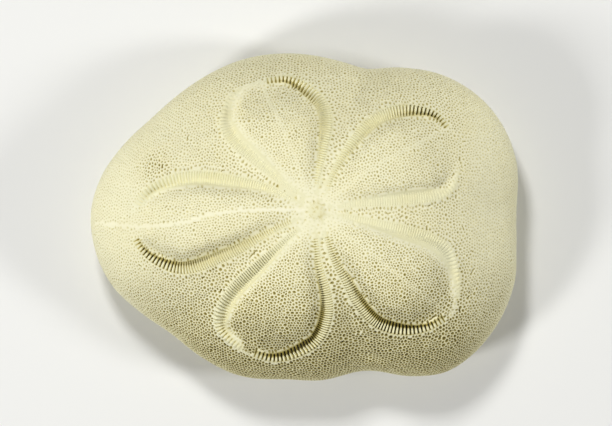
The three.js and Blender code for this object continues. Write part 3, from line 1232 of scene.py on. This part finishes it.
def add_tubercles(points: Points, seeds: Array, strength: Callable[[Array], Array], space: float,
                  edge_count: int, rng: np.random.Generator) -> tuple[Points, Array]:
    """Adds a pit for each tubercle and a corner between each three neighbours.

    Args:
        points: the skin's other points, the edge ring first.
        seeds: flat points of the tubercles.
        strength: how deep and how dark a pit at a flat point is, and 0 where none may be.
        space: how far apart the points are that fill the gaps.
        edge_count: how many points the edge ring has.
        rng: the source of the pits' uneven depths.

    Returns:
        The points, and which of them are tubercles.
    """
    seeds = seeds[strength(seeds) > 0]
    seeds = seeds[thin_out(seeds, points.flat[edge_count:], TUBERCLE.first_seed_gap)]
    seeds = spread(points.flat, seeds, edge_count)
    seeds = seeds[thin_out(seeds, points.flat[edge_count:], TUBERCLE.last_seed_gap)]
    holes = fillers(np.vstack([points.flat, seeds]), edge_count, space)
    dotted = strength(holes) > 0
    points.add(holes[~dotted], stain=TUBERCLE.plain_stain)
    seeds = np.vstack([seeds, holes[dotted]])
    first = len(points.flat)
    flat = np.vstack([points.flat, seeds])
    faces = join(flat, edge_count)
    # a corner of the skin stands in each triangle of which two or more points are pits
    threes = flat[faces[(faces >= first).sum(axis=1) >= 2]]
    sides = [np.linalg.norm(threes[:, k] - threes[:, k - 1], axis=1) for k in range(3)]
    corners = threes.mean(axis=1)[np.min(sides, axis=0) > TUBERCLE.shortest_side]
    strengths = strength(seeds)
    depth = TUBERCLE.pit_depth * rng.uniform(*TUBERCLE.pit_unevenness, len(seeds))
    strongest = np.minimum(strengths, TUBERCLE.strongest_pit)
    depth = depth * (TUBERCLE.weak_pit + (1 - TUBERCLE.weak_pit) * strongest)
    # each pit is darkened by its strength: ochre residue, and painted shade of the sunken ring round its
    # tubercle
    points.add(seeds, -depth, rng.uniform(*TUBERCLE.darkening_unevenness, len(seeds)) * strengths)
    # the corners between the pits are painted paler: a painted highlight of the skin between them
    points.add(corners, pale_and_highlight=TUBERCLE.chalky_highlight)
    is_tubercle = np.zeros(len(points.flat), bool)
    is_tubercle[first:first + len(seeds)] = True
    return points, is_tubercle


class UnderLayout:
    """Places every point of the underside: mouth, food grooves, vent, pits and corners.

    The clear numbers are multiples of the mouth's or the vent's radius, or of a groove's width, within
    which no tubercle stands.
    """

    mouth_first = 0.7
    mouth_last = 1.3
    mouth_step = 0.45
    mouth_spacing = 0.5
    mouth_scallop = 0.05
    mouth_shade_share = 0.7
    mouth_clear = 1.35
    groove_step = 0.9
    groove_start = 1.45
    groove_lines = (-0.7, -0.35, 0.0, 0.35, 0.7)
    groove_middle_dark = 0.35
    groove_clear = 1.1
    vent_sides = 14
    vent_rings = ((0.0, 1.0), (0.3, 1.0), (0.6, 0.7), (0.9, 0.2), (1.2, 0.0))
    vent_clear = 1.5
    plain_strength = 0.8
    edge_strength = 0.95
    edge_reach = (14, 2)

    def __init__(self, outline: Outline, skin: UnderSkin, unroller: Unroller,
                 rng: np.random.Generator) -> None:
        """Keeps what the points are worked out from.

        Args:
            outline: the test's outline.
            skin: the underside's heights and sizes.
            unroller: turns plan points into the underside's flat points.
            rng: the source of uneven places.
        """
        self.outline = outline
        self.skin = skin
        self.unroller = unroller
        self.rng = rng

    def mouth(self, points: Points) -> None:
        """Adds the rings of the mouth, whose inside is painted dark: painted shade of the opening.

        Args:
            points: the points so far.
        """
        points.add(np.zeros((1, 2)), stain=1.0)
        wide = self.skin.mouth_radius
        for radius in np.arange(self.mouth_first, self.mouth_last * wide, self.mouth_step):
            turn = even_turn(int(2 * np.pi * radius / self.mouth_spacing) + 5)
            # five shallow scallops, one between each two food grooves
            scallop = 1 + self.mouth_scallop * np.cos(5 * turn)
            painted_shade = 1 - smoothstep(self.mouth_shade_share * wide, wide, np.array(radius))
            points.add(self.unroller.flat(polar(radius * scallop, turn)), stain=float(painted_shade))

    def grooves(self, points: Points) -> None:
        """Adds the five food grooves.

        Args:
            points: the points so far.
        """
        for angle in self.skin.groove_angles:
            turn = np.radians(angle)
            end = self.skin.groove_end * self.outline.radius(np.radians([angle]))[0]
            out = np.arange(self.groove_start * self.skin.mouth_radius, end, self.groove_step)
            for across in self.groove_lines:
                off = np.full_like(out, across * self.skin.groove_width)
                plan = np.stack([out * np.cos(turn) - off * np.sin(turn),
                                 out * np.sin(turn) + off * np.cos(turn)], axis=1)
                # the middle line of each food groove is darker
                points.add(self.unroller.flat(plan), stain=self.groove_middle_dark * (across == 0))

    def vent(self, points: Points) -> None:
        """Adds the vent near the rear edge, painted dark inside: painted shade of the opening.

        Args:
            points: the points so far.
        """
        centre = np.array([self.skin.vent_distance, 0.0])
        for share, painted_shade in self.vent_rings:
            count = 1 if share == 0 else self.vent_sides
            ring = centre + polar(np.full(count, share * self.skin.vent_radius), even_turn(count))
            points.add(self.unroller.flat(ring), stain=painted_shade)

    def seeds(self) -> Array:
        """Places the underside's tubercles, in rows that follow the edge and lie further apart inwards.

        Returns:
            Their flat points.
        """
        rows = []
        edge = self.unroller.edge()
        gap = TUBERCLE.edge_gap
        while gap < edge.max():
            wide = float(smoothstep(*TUBERCLE.under_widening, np.array(gap)))
            space = TUBERCLE.edge_spacing + (TUBERCLE.under_spacing - TUBERCLE.edge_spacing) * wide
            rows.append(edge_row(edge, gap, space, len(rows)))
            gap += ROW_STEP * space
        grid = np.vstack(rows)
        grid = grid + self.rng.normal(0, TUBERCLE.under_unevenness * TUBERCLE.jitter, grid.shape)
        return grid[self.unroller.edge_gap(grid) > TUBERCLE.edge_clear]

    def strength(self, flat: Array) -> Array:
        """How deep and how dark the pits are.

        Args:
            flat: the flat points.

        Returns:
            The strength at each point, and 0 where no tubercle stands, as in the mouth and the grooves.
        """
        plan = self.unroller.plan(flat)
        keep = np.hypot(plan[:, 0], plan[:, 1]) > self.mouth_clear * self.skin.mouth_radius
        off = np.hypot(plan[:, 0] - self.skin.vent_distance, plan[:, 1])
        keep &= off > self.vent_clear * self.skin.vent_radius
        past = self.outline.share(plan) > self.skin.groove_end
        for angle in self.skin.groove_angles:
            out, across = self.skin.groove_places(plan, angle)
            keep &= (np.abs(across) > self.groove_clear * self.skin.groove_width) | (out < 0) | past
        # the pits near the edge are as dark as those above it, with residue and painted shade
        near_edge = smoothstep(*self.edge_reach, self.unroller.edge_gap(flat))
        change = self.edge_strength * RESIDUE_AND_SHADE.share(plan) - self.plain_strength
        return keep * (self.plain_strength + change * near_edge)

    def lay_out(self, edge_count: int) -> tuple[Points, Array]:
        """Places all points.

        Args:
            edge_count: how many points the edge ring has.

        Returns:
            The points, and which of them are tubercles.
        """
        points = Points()
        points.add(self.unroller.flat(self.outline.ring(edge_count)))
        self.mouth(points)
        self.grooves(points)
        self.vent(points)
        points, is_tubercle = add_tubercles(points, self.seeds(), self.strength, TUBERCLE.edge_spacing,
                                            edge_count, self.rng)
        # painted shade: the skin between the pits darkens towards the left of the animal
        points.stain = np.maximum(points.stain, RESIDUE_AND_SHADE.painted_skin_shade(self.unroller.plan(points.flat)))
        return points, is_tubercle


def vertex_normals(places: Array, faces: Array) -> Array:
    """Works out the normals of a mesh's vertices.

    Args:
        places: the vertex positions.
        faces: the corners of each triangle.

    Returns:
        Unit normals, each the mean of its faces' by area.
    """
    a, b, c = (places[faces[:, k]] for k in range(3))
    face = np.cross(b - a, c - a)
    total = np.zeros_like(places)
    for k in range(3):
        np.add.at(total, faces[:, k], face)
    return total / np.maximum(np.linalg.norm(total, axis=1, keepdims=True), 1e-12)


def make_object(name: str, places: Array, faces: Array, uv: Array) -> bpy.types.Object:
    """Makes a mesh object whose faces are shaded smooth.

    Args:
        name: the piece's name.
        places: vertex positions in mm about the apex, at z above the resting surface.
        faces: the corners of each triangle.
        uv: a map place for each corner of each triangle.

    Returns:
        The new object.
    """
    mesh = bpy.data.meshes.new(name)
    placed = (places - np.array([*MIDDLE, 0.0])) * MM
    mesh.vertices.add(len(placed))
    mesh.vertices.foreach_set("co", placed.astype(np.float32).ravel())
    mesh.loops.add(3 * len(faces))
    mesh.loops.foreach_set("vertex_index", faces.astype(np.int32).ravel())
    mesh.polygons.add(len(faces))
    mesh.polygons.foreach_set("loop_start", np.arange(0, 3 * len(faces), 3, dtype=np.int32))
    mesh.polygons.foreach_set("use_smooth", np.ones(len(faces), bool))
    layer = mesh.uv_layers.new(name=UV_MAP)
    layer.uv.foreach_set("vector", uv.reshape(-1, 2).astype(np.float32).ravel())
    mesh.update(calc_edges=True)
    made = bpy.data.objects.new(name, mesh)
    bpy.context.scene.collection.objects.link(made)
    return made


def add_values(made: bpy.types.Object, name: str, values: Array) -> None:
    """Stores one number per vertex under a name that a material can read."""
    attribute = made.data.attributes.new(name, "FLOAT", "POINT")
    attribute.data.foreach_set("value", values.astype(np.float32))


@dataclass
class Skin:
    """One skin after it is lifted: its map places, positions, normals, triangles and values."""

    flat: Array
    places: Array
    normals: Array
    faces: Array
    lift: Array
    stain: Array
    pale_and_highlight: Array
    is_tubercle: Array


class TestBody:
    """The whole test: both skins in one closed mesh, with a tubercle in each pit."""

    edge_count = 610
    tip_sample = 180
    fields = ("rear", "right", "front_right", "front_left", "left")

    def __init__(self, rng: np.random.Generator) -> None:
        """Sets up the test's shape.

        Args:
            rng: the source of everything uneven.
        """
        self.rng = rng
        self.outline = Outline()
        self.petals = tuple(Petal(shape) for shape in PETALS)
        self.upper = UpperSkin(self.outline, self.petals)
        self.under = UnderSkin(self.outline)

    def lift(self, side: Side) -> Skin:
        """Lays out one skin and lifts it to its heights.

        Args:
            side: which of the two skins.

        Returns:
            The skin.
        """
        skin = self.upper if side is Side.UPPER else self.under
        unroller = Unroller(self.outline, skin)
        if side is Side.UPPER:
            layout = UpperLayout(self.outline, self.petals, unroller, self.rng)
        else:
            layout = UnderLayout(self.outline, self.under, unroller, self.rng)
        points, is_tubercle = layout.lay_out(self.edge_count)
        faces = join(points.flat, self.edge_count)
        if side is Side.UNDER:
            faces = faces[:, ::-1]
        ring = self.outline.ring(self.edge_count)
        plan = unroller.plan(points.flat)
        plan[:self.edge_count] = ring
        places = np.column_stack([plan, skin.height(plan)])
        normals = vertex_normals(places, faces)
        outward = ring / np.linalg.norm(ring, axis=1, keepdims=True)
        normals[:self.edge_count] = np.column_stack([outward, np.zeros(self.edge_count)])
        places = places + normals * (points.lift - TUBERCLE.skin_inset)[:, None]
        return Skin(points.flat, places, normals, faces, points.lift, points.stain, points.pale_and_highlight, is_tubercle)

    def build(self) -> tuple[bpy.types.Object, list[bpy.types.Object]]:
        """Builds the body and its tubercles.

        Returns:
            The body, and one piece of tubercles for each petal, each field between petals and the underside.
        """
        upper = self.lift(Side.UPPER)
        under = self.lift(Side.UNDER)
        shift = len(upper.places) - self.edge_count
        under_faces = np.where(under.faces < self.edge_count, under.faces, under.faces + shift)
        places = np.vstack([upper.places, under.places[self.edge_count:]])
        faces = np.vstack([upper.faces, under_faces])
        uv = np.vstack([map_place(upper.flat, Side.UPPER)[upper.faces.ravel()],
                        map_place(under.flat, Side.UNDER)[under.faces.ravel()]])
        body = make_object("test_skin", places, faces, uv)
        for name in ("stain", "pale_and_highlight"):
            values = [getattr(upper, name), getattr(under, name)[self.edge_count:]]
            add_values(body, name, np.concatenate(values))
        coarse = TUBERCLE.dome_rings[::2]
        below = self.bosses("tubercles_underside", under, under.is_tubercle, coarse)
        return body, [*self.upper_tubercles(upper), below]

    def upper_tubercles(self, skin: Skin) -> list[bpy.types.Object]:
        """Makes the upper side's tubercles.

        Args:
            skin: the upper skin.

        Returns:
            A piece for each petal, and one for each field between two petals.
        """
        unroller = Unroller(self.outline, self.upper)
        plan = unroller.plan(skin.flat)
        left = skin.is_tubercle.copy()
        pieces = []
        for petal in self.petals:
            chosen = left & petal.holds(plan)
            left &= ~chosen
            pieces.append(self.bosses(f"tubercles_{petal.name}_petal", skin, chosen, TUBERCLE.dome_rings))
        tips = np.array([petal.middle.samples[self.tip_sample] for petal in self.petals])
        tip_turns = np.sort(np.degrees(np.arctan2(tips[:, 1], tips[:, 0])) % 360)
        turn = np.degrees(np.arctan2(plan[:, 1], plan[:, 0])) % 360
        sector = np.searchsorted(tip_turns, turn) % len(self.fields)
        for k, name in enumerate(self.fields):
            chosen = left & (sector == k)
            pieces.append(self.bosses(f"tubercles_{name}_field", skin, chosen, TUBERCLE.dome_rings))
        return pieces

    def bosses(self, name: str, skin: Skin, chosen: Array,
               rings: tuple[tuple[float, float, float], ...]) -> bpy.types.Object:
        """Makes one joined mesh of small domes, one in each chosen pit.

        Args:
            name: the piece's name.
            skin: the skin that they stand on.
            chosen: which of its points get a dome.
            rings: the rings of points that a dome is made of, from its foot up: the radius as a share
            of the dome's, the height as a share of the dome's, and the share of the pit's residue and painted
            shade.

        Returns:
            The piece.
        """
        centre, normal, flat = skin.places[chosen], skin.normals[chosen], skin.flat[chosen]
        tall = TUBERCLE.boss_proud - skin.lift[chosen]
        count = len(centre)
        first = np.cross(normal, np.broadcast_to([0.3, 0.9, 0.1], normal.shape))
        first = first / np.linalg.norm(first, axis=1, keepdims=True)
        second = np.cross(normal, first)
        size = self.rng.uniform(*TUBERCLE.boss_unevenness, count)
        spin = self.rng.uniform(0, 2 * np.pi, count)
        angle = spin[:, None] + even_turn(TUBERCLE.dome_sides)[None]
        vertices, maps, stain_and_shade_shares = [], [], []
        for radius, height, stain in rings:
            stain_and_shade_shares += TUBERCLE.dome_sides * [stain]
            reach = (radius * TUBERCLE.boss_radius * size)[:, None]
            x, y = reach * np.cos(angle), reach * np.sin(angle)
            rise = (height * tall)[:, None, None]
            vertices.append(centre[:, None] + x[..., None] * first[:, None] + y[..., None] * second[:, None]
                            + rise * normal[:, None])
            maps.append(flat[:, None] + np.stack([x, y], axis=-1))
        tip = centre + normal * tall[:, None]
        vertices.append(tip[:, None])
        maps.append(flat[:, None])
        places = np.concatenate(vertices, axis=1)
        spots = np.concatenate(maps, axis=1)
        walls, base = dome_faces(len(rings))
        faces = np.vstack([walls, base])
        all_faces = (faces[None] + places.shape[1] * np.arange(count)[:, None, None]).reshape(-1, 3)
        uv = fit_map(spots.reshape(-1, 2))[all_faces]
        # the bases can't be seen, so they share a small corner of the map
        hidden = np.tile(np.arange(len(faces)) >= len(walls), count)
        uv[hidden] *= 0.04
        made = make_object(name, places.reshape(-1, 3), all_faces, uv)
        # the lower rings of each dome take the pit's darkening, residue and painted shade alike
        residue_and_shade = skin.stain[chosen][:, None] * np.array([*stain_and_shade_shares, TUBERCLE.tip_stain])
        add_values(made, "stain", residue_and_shade.ravel())
        return made


def dome_faces(levels: int) -> tuple[Array, Array]:
    """Joins the points of one dome into triangles, of which the last point is the tip.

    Args:
        levels: how many rings the dome has.

    Returns:
        The corners of each triangle of the walls and cap, and of the base.
    """
    sides = TUBERCLE.dome_sides
    loop = np.arange(sides)
    after = (loop + 1) % sides
    last = sides * (levels - 1)
    walls = []
    for low in range(0, last, sides):
        high = low + sides
        walls.append(np.stack([low + loop, low + after, high + after], axis=1))
        walls.append(np.stack([low + loop, high + after, high + loop], axis=1))
    walls.append(np.stack([last + loop, last + after, np.full(sides, last + sides)], axis=1))
    return np.vstack(walls), np.array([[0, k + 1, k] for k in range(1, sides - 1)])


def map_place(flat: Array, side: Side) -> Array:
    """Map places of the body's points, the upper skin above and the underside below, at one scale.

    Args:
        flat: the flat points.
        side: which skin they belong to.

    Returns:
        The map places.
    """
    scale = 1 / 262.0  # both skins, unrolled, fit on a map of this many mm
    x = 0.5 + flat[:, 0] * scale
    y = (0.75 if side is Side.UPPER else 0.25) + flat[:, 1] * scale
    return np.stack([x, y], axis=1)


def fit_map(spots: Array) -> Array:
    """Map places of a tubercle piece, fitted to the image but for a margin at its low edges."""
    low, high = spots.min(0), spots.max(0)
    return 0.06 + 0.92 * (spots - low) / (high - low).max()


def linear(hex_code: str) -> tuple[float, float, float, float]:
    """Turns an sRGB colour to linear.

    Args:
        hex_code: the colour, such as #E2E2DF.

    Returns:
        The linear colour, with alpha 1.
    """
    parts = [int(hex_code[i:i + 2], 16) / 255 for i in (1, 3, 5)]
    red, green, blue = (c / 12.92 if c <= 0.04045 else ((c + 0.055) / 1.055) ** 2.4 for c in parts)
    return red, green, blue, 1.0


def add_node(tree: bpy.types.NodeTree, kind: str, settings: dict | None = None,
             links: dict | None = None, **values: object) -> bpy.types.Node:
    """Adds a node.

    Args:
        tree: the node tree.
        kind: the node's type.
        settings: its properties.
        links: for each input, by name or number, the output socket that feeds it.
        **values: a value for each input by name, with underscores for spaces.

    Returns:
        The node.
    """
    node = tree.nodes.new(kind)
    for key, value in (settings or {}).items():
        setattr(node, key, value)
    for key, value in values.items():
        node.inputs[key.replace("_", " ")].default_value = value
    for key, socket in (links or {}).items():
        tree.links.new(socket, node.inputs[key])
    return node


@dataclass(frozen=True)
class CleanedCalcite:
    """Bare calcite of a bleached sea urchin test: matt and chalky, with ochre residue and painted shade in
    its pits and slots, and painted highlights between the pits.

    The surface is a fine meshwork, grown rather than cut, so it has no gloss to speak of: light spreads
    a little under it, which softens the smallest shadows.
    """

    name: str = "cleaned_calcite"
    cream: str = "#E2DFBA"
    warm: str = "#DED7A7"
    chalk_and_highlight: str = "#F1EDD2"
    straw: str = "#D8D09C"
    ochre: str = "#968734"
    umber_and_shade: str = "#302B10"
    roughness: float = 0.78
    ior: float = 1.55
    cloud_mm: float = 14.0
    mottle_mm: float = 2.2
    mesh_mm: float = 0.35  # the real meshwork is near 0.03 mm, too fine to show, so it is drawn coarser
    bump_mm: float = 0.06
    bump_strength: float = 0.25
    noise_roughness: float = 0.55
    patchiness: float = 0.6
    # the ranges of a noise or of the residue over which one colour gives way to the next
    warm_range: tuple[float, float] = (0.35, 0.7)
    cream_range: tuple[float, float] = (0.3, 0.8)
    straw_range: tuple[float, float] = (0.18, 0.5)
    ochre_range: tuple[float, float] = (0.4, 0.75)
    umber_and_shade_range: tuple[float, float] = (0.75, 1.3)

    def material(self) -> bpy.types.Material:
        """Builds the material.

        Returns:
            The material.
        """
        made = bpy.data.materials.new(self.name)
        made.use_nodes = True
        tree = made.node_tree
        tree.nodes.clear()
        place = add_node(tree, "ShaderNodeTexCoord").outputs["Object"]
        stain = add_node(tree, "ShaderNodeAttribute", {"attribute_name": "stain"}).outputs["Fac"]
        pale_and_highlight = add_node(tree, "ShaderNodeAttribute", {"attribute_name": "pale_and_highlight"}).outputs["Fac"]
        cloud = self.noise(tree, place, self.cloud_mm, 3.0)
        mottle = self.noise(tree, place, self.mottle_mm, 2.0)
        patchy = add_node(tree, "ShaderNodeMath", {"operation": "MULTIPLY_ADD"}, {0: mottle})
        for slot in (1, 2):
            patchy.inputs[slot].default_value = self.patchiness
        # the darkening value, ochre residue and painted shade alike, made patchy
        dirt_and_shade = add_node(tree, "ShaderNodeMath", {"operation": "MULTIPLY"},
                        {0: stain, 1: patchy.outputs[0]}).outputs[0]
        # the pale value whitens towards chalk, for the pale middle lines and as a painted highlight between
        # the pits; the dark value goes through straw, ochre and umber, for residue and for painted shade in
        # pits, slots, creases and openings
        tint = linear(self.cream)
        for factor, colour, limits in (
            (cloud, self.warm, self.warm_range),
            (mottle, self.cream, self.cream_range),
            (pale_and_highlight, self.chalk_and_highlight, (0.0, 1.0)),
            (dirt_and_shade, self.straw, self.straw_range),
            (dirt_and_shade, self.ochre, self.ochre_range),
            (dirt_and_shade, self.umber_and_shade, self.umber_and_shade_range),
        ):
            tint = self.blend(tree, factor, tint, linear(colour), *limits)
        grain = self.noise(tree, place, self.mesh_mm, 2.0)
        bump = add_node(tree, "ShaderNodeBump", None, {"Height": grain},
                        Strength=self.bump_strength, Distance=self.bump_mm * MM)
        shader = add_node(
            tree, "ShaderNodeBsdfPrincipled", None,
            {"Base Color": tint, "Normal": bump.outputs["Normal"]}, Roughness=self.roughness, IOR=self.ior,
        )
        add_node(tree, "ShaderNodeOutputMaterial", None, {"Surface": shader.outputs["BSDF"]})
        return made

    def noise(self, tree: bpy.types.NodeTree, place: bpy.types.NodeSocket, size_mm: float,
              detail: float) -> bpy.types.NodeSocket:
        """Adds a soft noise.

        Args:
            tree: the node tree.
            place: the socket that gives the place on the object.
            size_mm: how far across its blotches are.
            detail: how many finer layers it has.

        Returns:
            The noise's socket.
        """
        node = add_node(tree, "ShaderNodeTexNoise", None, {"Vector": place},
                        Scale=1 / (size_mm * MM), Detail=detail, Roughness=self.noise_roughness)
        return node.outputs["Fac"]

    @staticmethod
    def blend(tree: bpy.types.NodeTree, factor: bpy.types.NodeSocket, first: object, second: object,
              low: float, high: float) -> bpy.types.NodeSocket:
        """Blends two colours as a factor goes from low to high.

        Args:
            tree: the node tree.
            factor: the socket that drives the blend.
            first: the colour or socket below low.
            second: the colour or socket above high.
            low: where the blend starts.
            high: where it ends.

        Returns:
            The blended colour's socket.
        """
        ramp = add_node(tree, "ShaderNodeMapRange", None, {"Value": factor})
        ramp.inputs["From Min"].default_value = low
        ramp.inputs["From Max"].default_value = high
        mix = add_node(tree, "ShaderNodeMix", {"data_type": "RGBA"}, {0: ramp.outputs["Result"]})
        for slot, colour in ((6, first), (7, second)):
            if isinstance(colour, bpy.types.NodeSocket):
                tree.links.new(colour, mix.inputs[slot])
            else:
                mix.inputs[slot].default_value = colour
        return mix.outputs[2]


@dataclass(frozen=True)
class SatinPaper:
    """Seamless studio paper: uncoated and even, so it shows only soft shade."""

    name: str = "studio_paper"
    shade: str = "#E2E2DF"
    roughness: float = 0.9

    def material(self) -> bpy.types.Material:
        """Builds the material.

        Returns:
            The material.
        """
        made = bpy.data.materials.new(self.name)
        made.use_nodes = True
        shader = made.node_tree.nodes["Principled BSDF"]
        shader.inputs["Base Color"].default_value = linear(self.shade)
        shader.inputs["Roughness"].default_value = self.roughness
        return made


@dataclass(frozen=True)
class Studio:
    """The floor, the soft light and the camera, in metres."""

    floor_size: float = 6.0
    camera_height: float = 3.0
    photo_width_px: float = 612.0
    mm_per_px: float = 0.2924
    middle_shift_px: tuple[float, float] = (1.7, 4.0)
    edge_height: float = 0.013
    sensor_mm: float = 36.0
    # each softbox: name, direction in degrees from the rear, rise in degrees, power in watts
    softboxes: tuple[tuple[str, float, float, float], ...] = (
        ("key", 108.0, 54.0, 8.4), ("front", 211.0, 35.0, 8.0), ("rear", 352.0, 33.0, 5.7),
    )
    softbox_distance: float = 1.2
    softbox_size: float = 0.22
    sky: float = 0.12

    def floor(self) -> bpy.types.Object:
        """Makes the floor that the test lies on.

        Returns:
            The floor.
        """
        mesh = bpy.data.meshes.new("floor")
        half = self.floor_size / 2
        mesh.from_pydata([(-half, -half, 0), (half, -half, 0), (half, half, 0), (-half, half, 0)], [],
                         [(0, 1, 2, 3)])
        made = bpy.data.objects.new("floor", mesh)
        mesh.materials.append(SatinPaper().material())
        bpy.context.scene.collection.objects.link(made)
        return made

    def light(self) -> None:
        """Makes the softboxes of a copy stand, and the even light of a white room."""
        for name, turn_degrees, rise_degrees, power in self.softboxes:
            data = bpy.data.lights.new(name, "AREA")
            data.energy = power
            data.size = self.softbox_size
            box = bpy.data.objects.new(name, data)
            turn, rise = np.radians(turn_degrees), np.radians(rise_degrees)
            way = Vector((np.cos(turn) * np.cos(rise), np.sin(turn) * np.cos(rise), np.sin(rise)))
            box.location = way * self.softbox_distance
            box.rotation_euler = way.to_track_quat("Z", "Y").to_euler()
            box.visible_camera = False
            bpy.context.scene.collection.objects.link(box)
        world = bpy.data.worlds.new("room")
        world.use_nodes = True
        back = world.node_tree.nodes["Background"]
        back.inputs["Color"].default_value = (1, 1, 1, 1)
        back.inputs["Strength"].default_value = self.sky
        bpy.context.scene.world = world

    def camera(self) -> bpy.types.Object:
        """Makes the camera, which looks straight down as in the photo.

        Returns:
            The camera.
        """
        data = bpy.data.cameras.new("camera")
        data.sensor_width = self.sensor_mm
        wide = self.photo_width_px * self.mm_per_px * MM
        data.lens = self.sensor_mm * (self.camera_height - self.edge_height) / wide
        data.clip_end = 4 * self.camera_height
        made = bpy.data.objects.new("camera", data)
        shift_x, shift_y = (px * self.mm_per_px * MM for px in self.middle_shift_px)
        made.location = (shift_x, shift_y, self.camera_height)
        bpy.context.scene.collection.objects.link(made)
        bpy.context.scene.camera = made
        return made


def main() -> None:
    """Builds the studio, the test and its tubercles, and reports each piece."""
    logging.basicConfig(level=logging.INFO, format="%(message)s")
    bpy.context.scene.view_settings.view_transform = "Standard"
    studio = Studio()
    studio.camera()
    studio.light()
    studio.floor()
    body, tubercles = TestBody(np.random.default_rng(SEED)).build()
    calcite = CleanedCalcite().material()
    for piece in [body, *tubercles]:
        piece.data.materials.append(calcite)
        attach(piece, "root")
        log.info("%s: %d triangles", piece.name, len(piece.data.polygons))
    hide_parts("test")


if __name__ == "__main__":
    main()
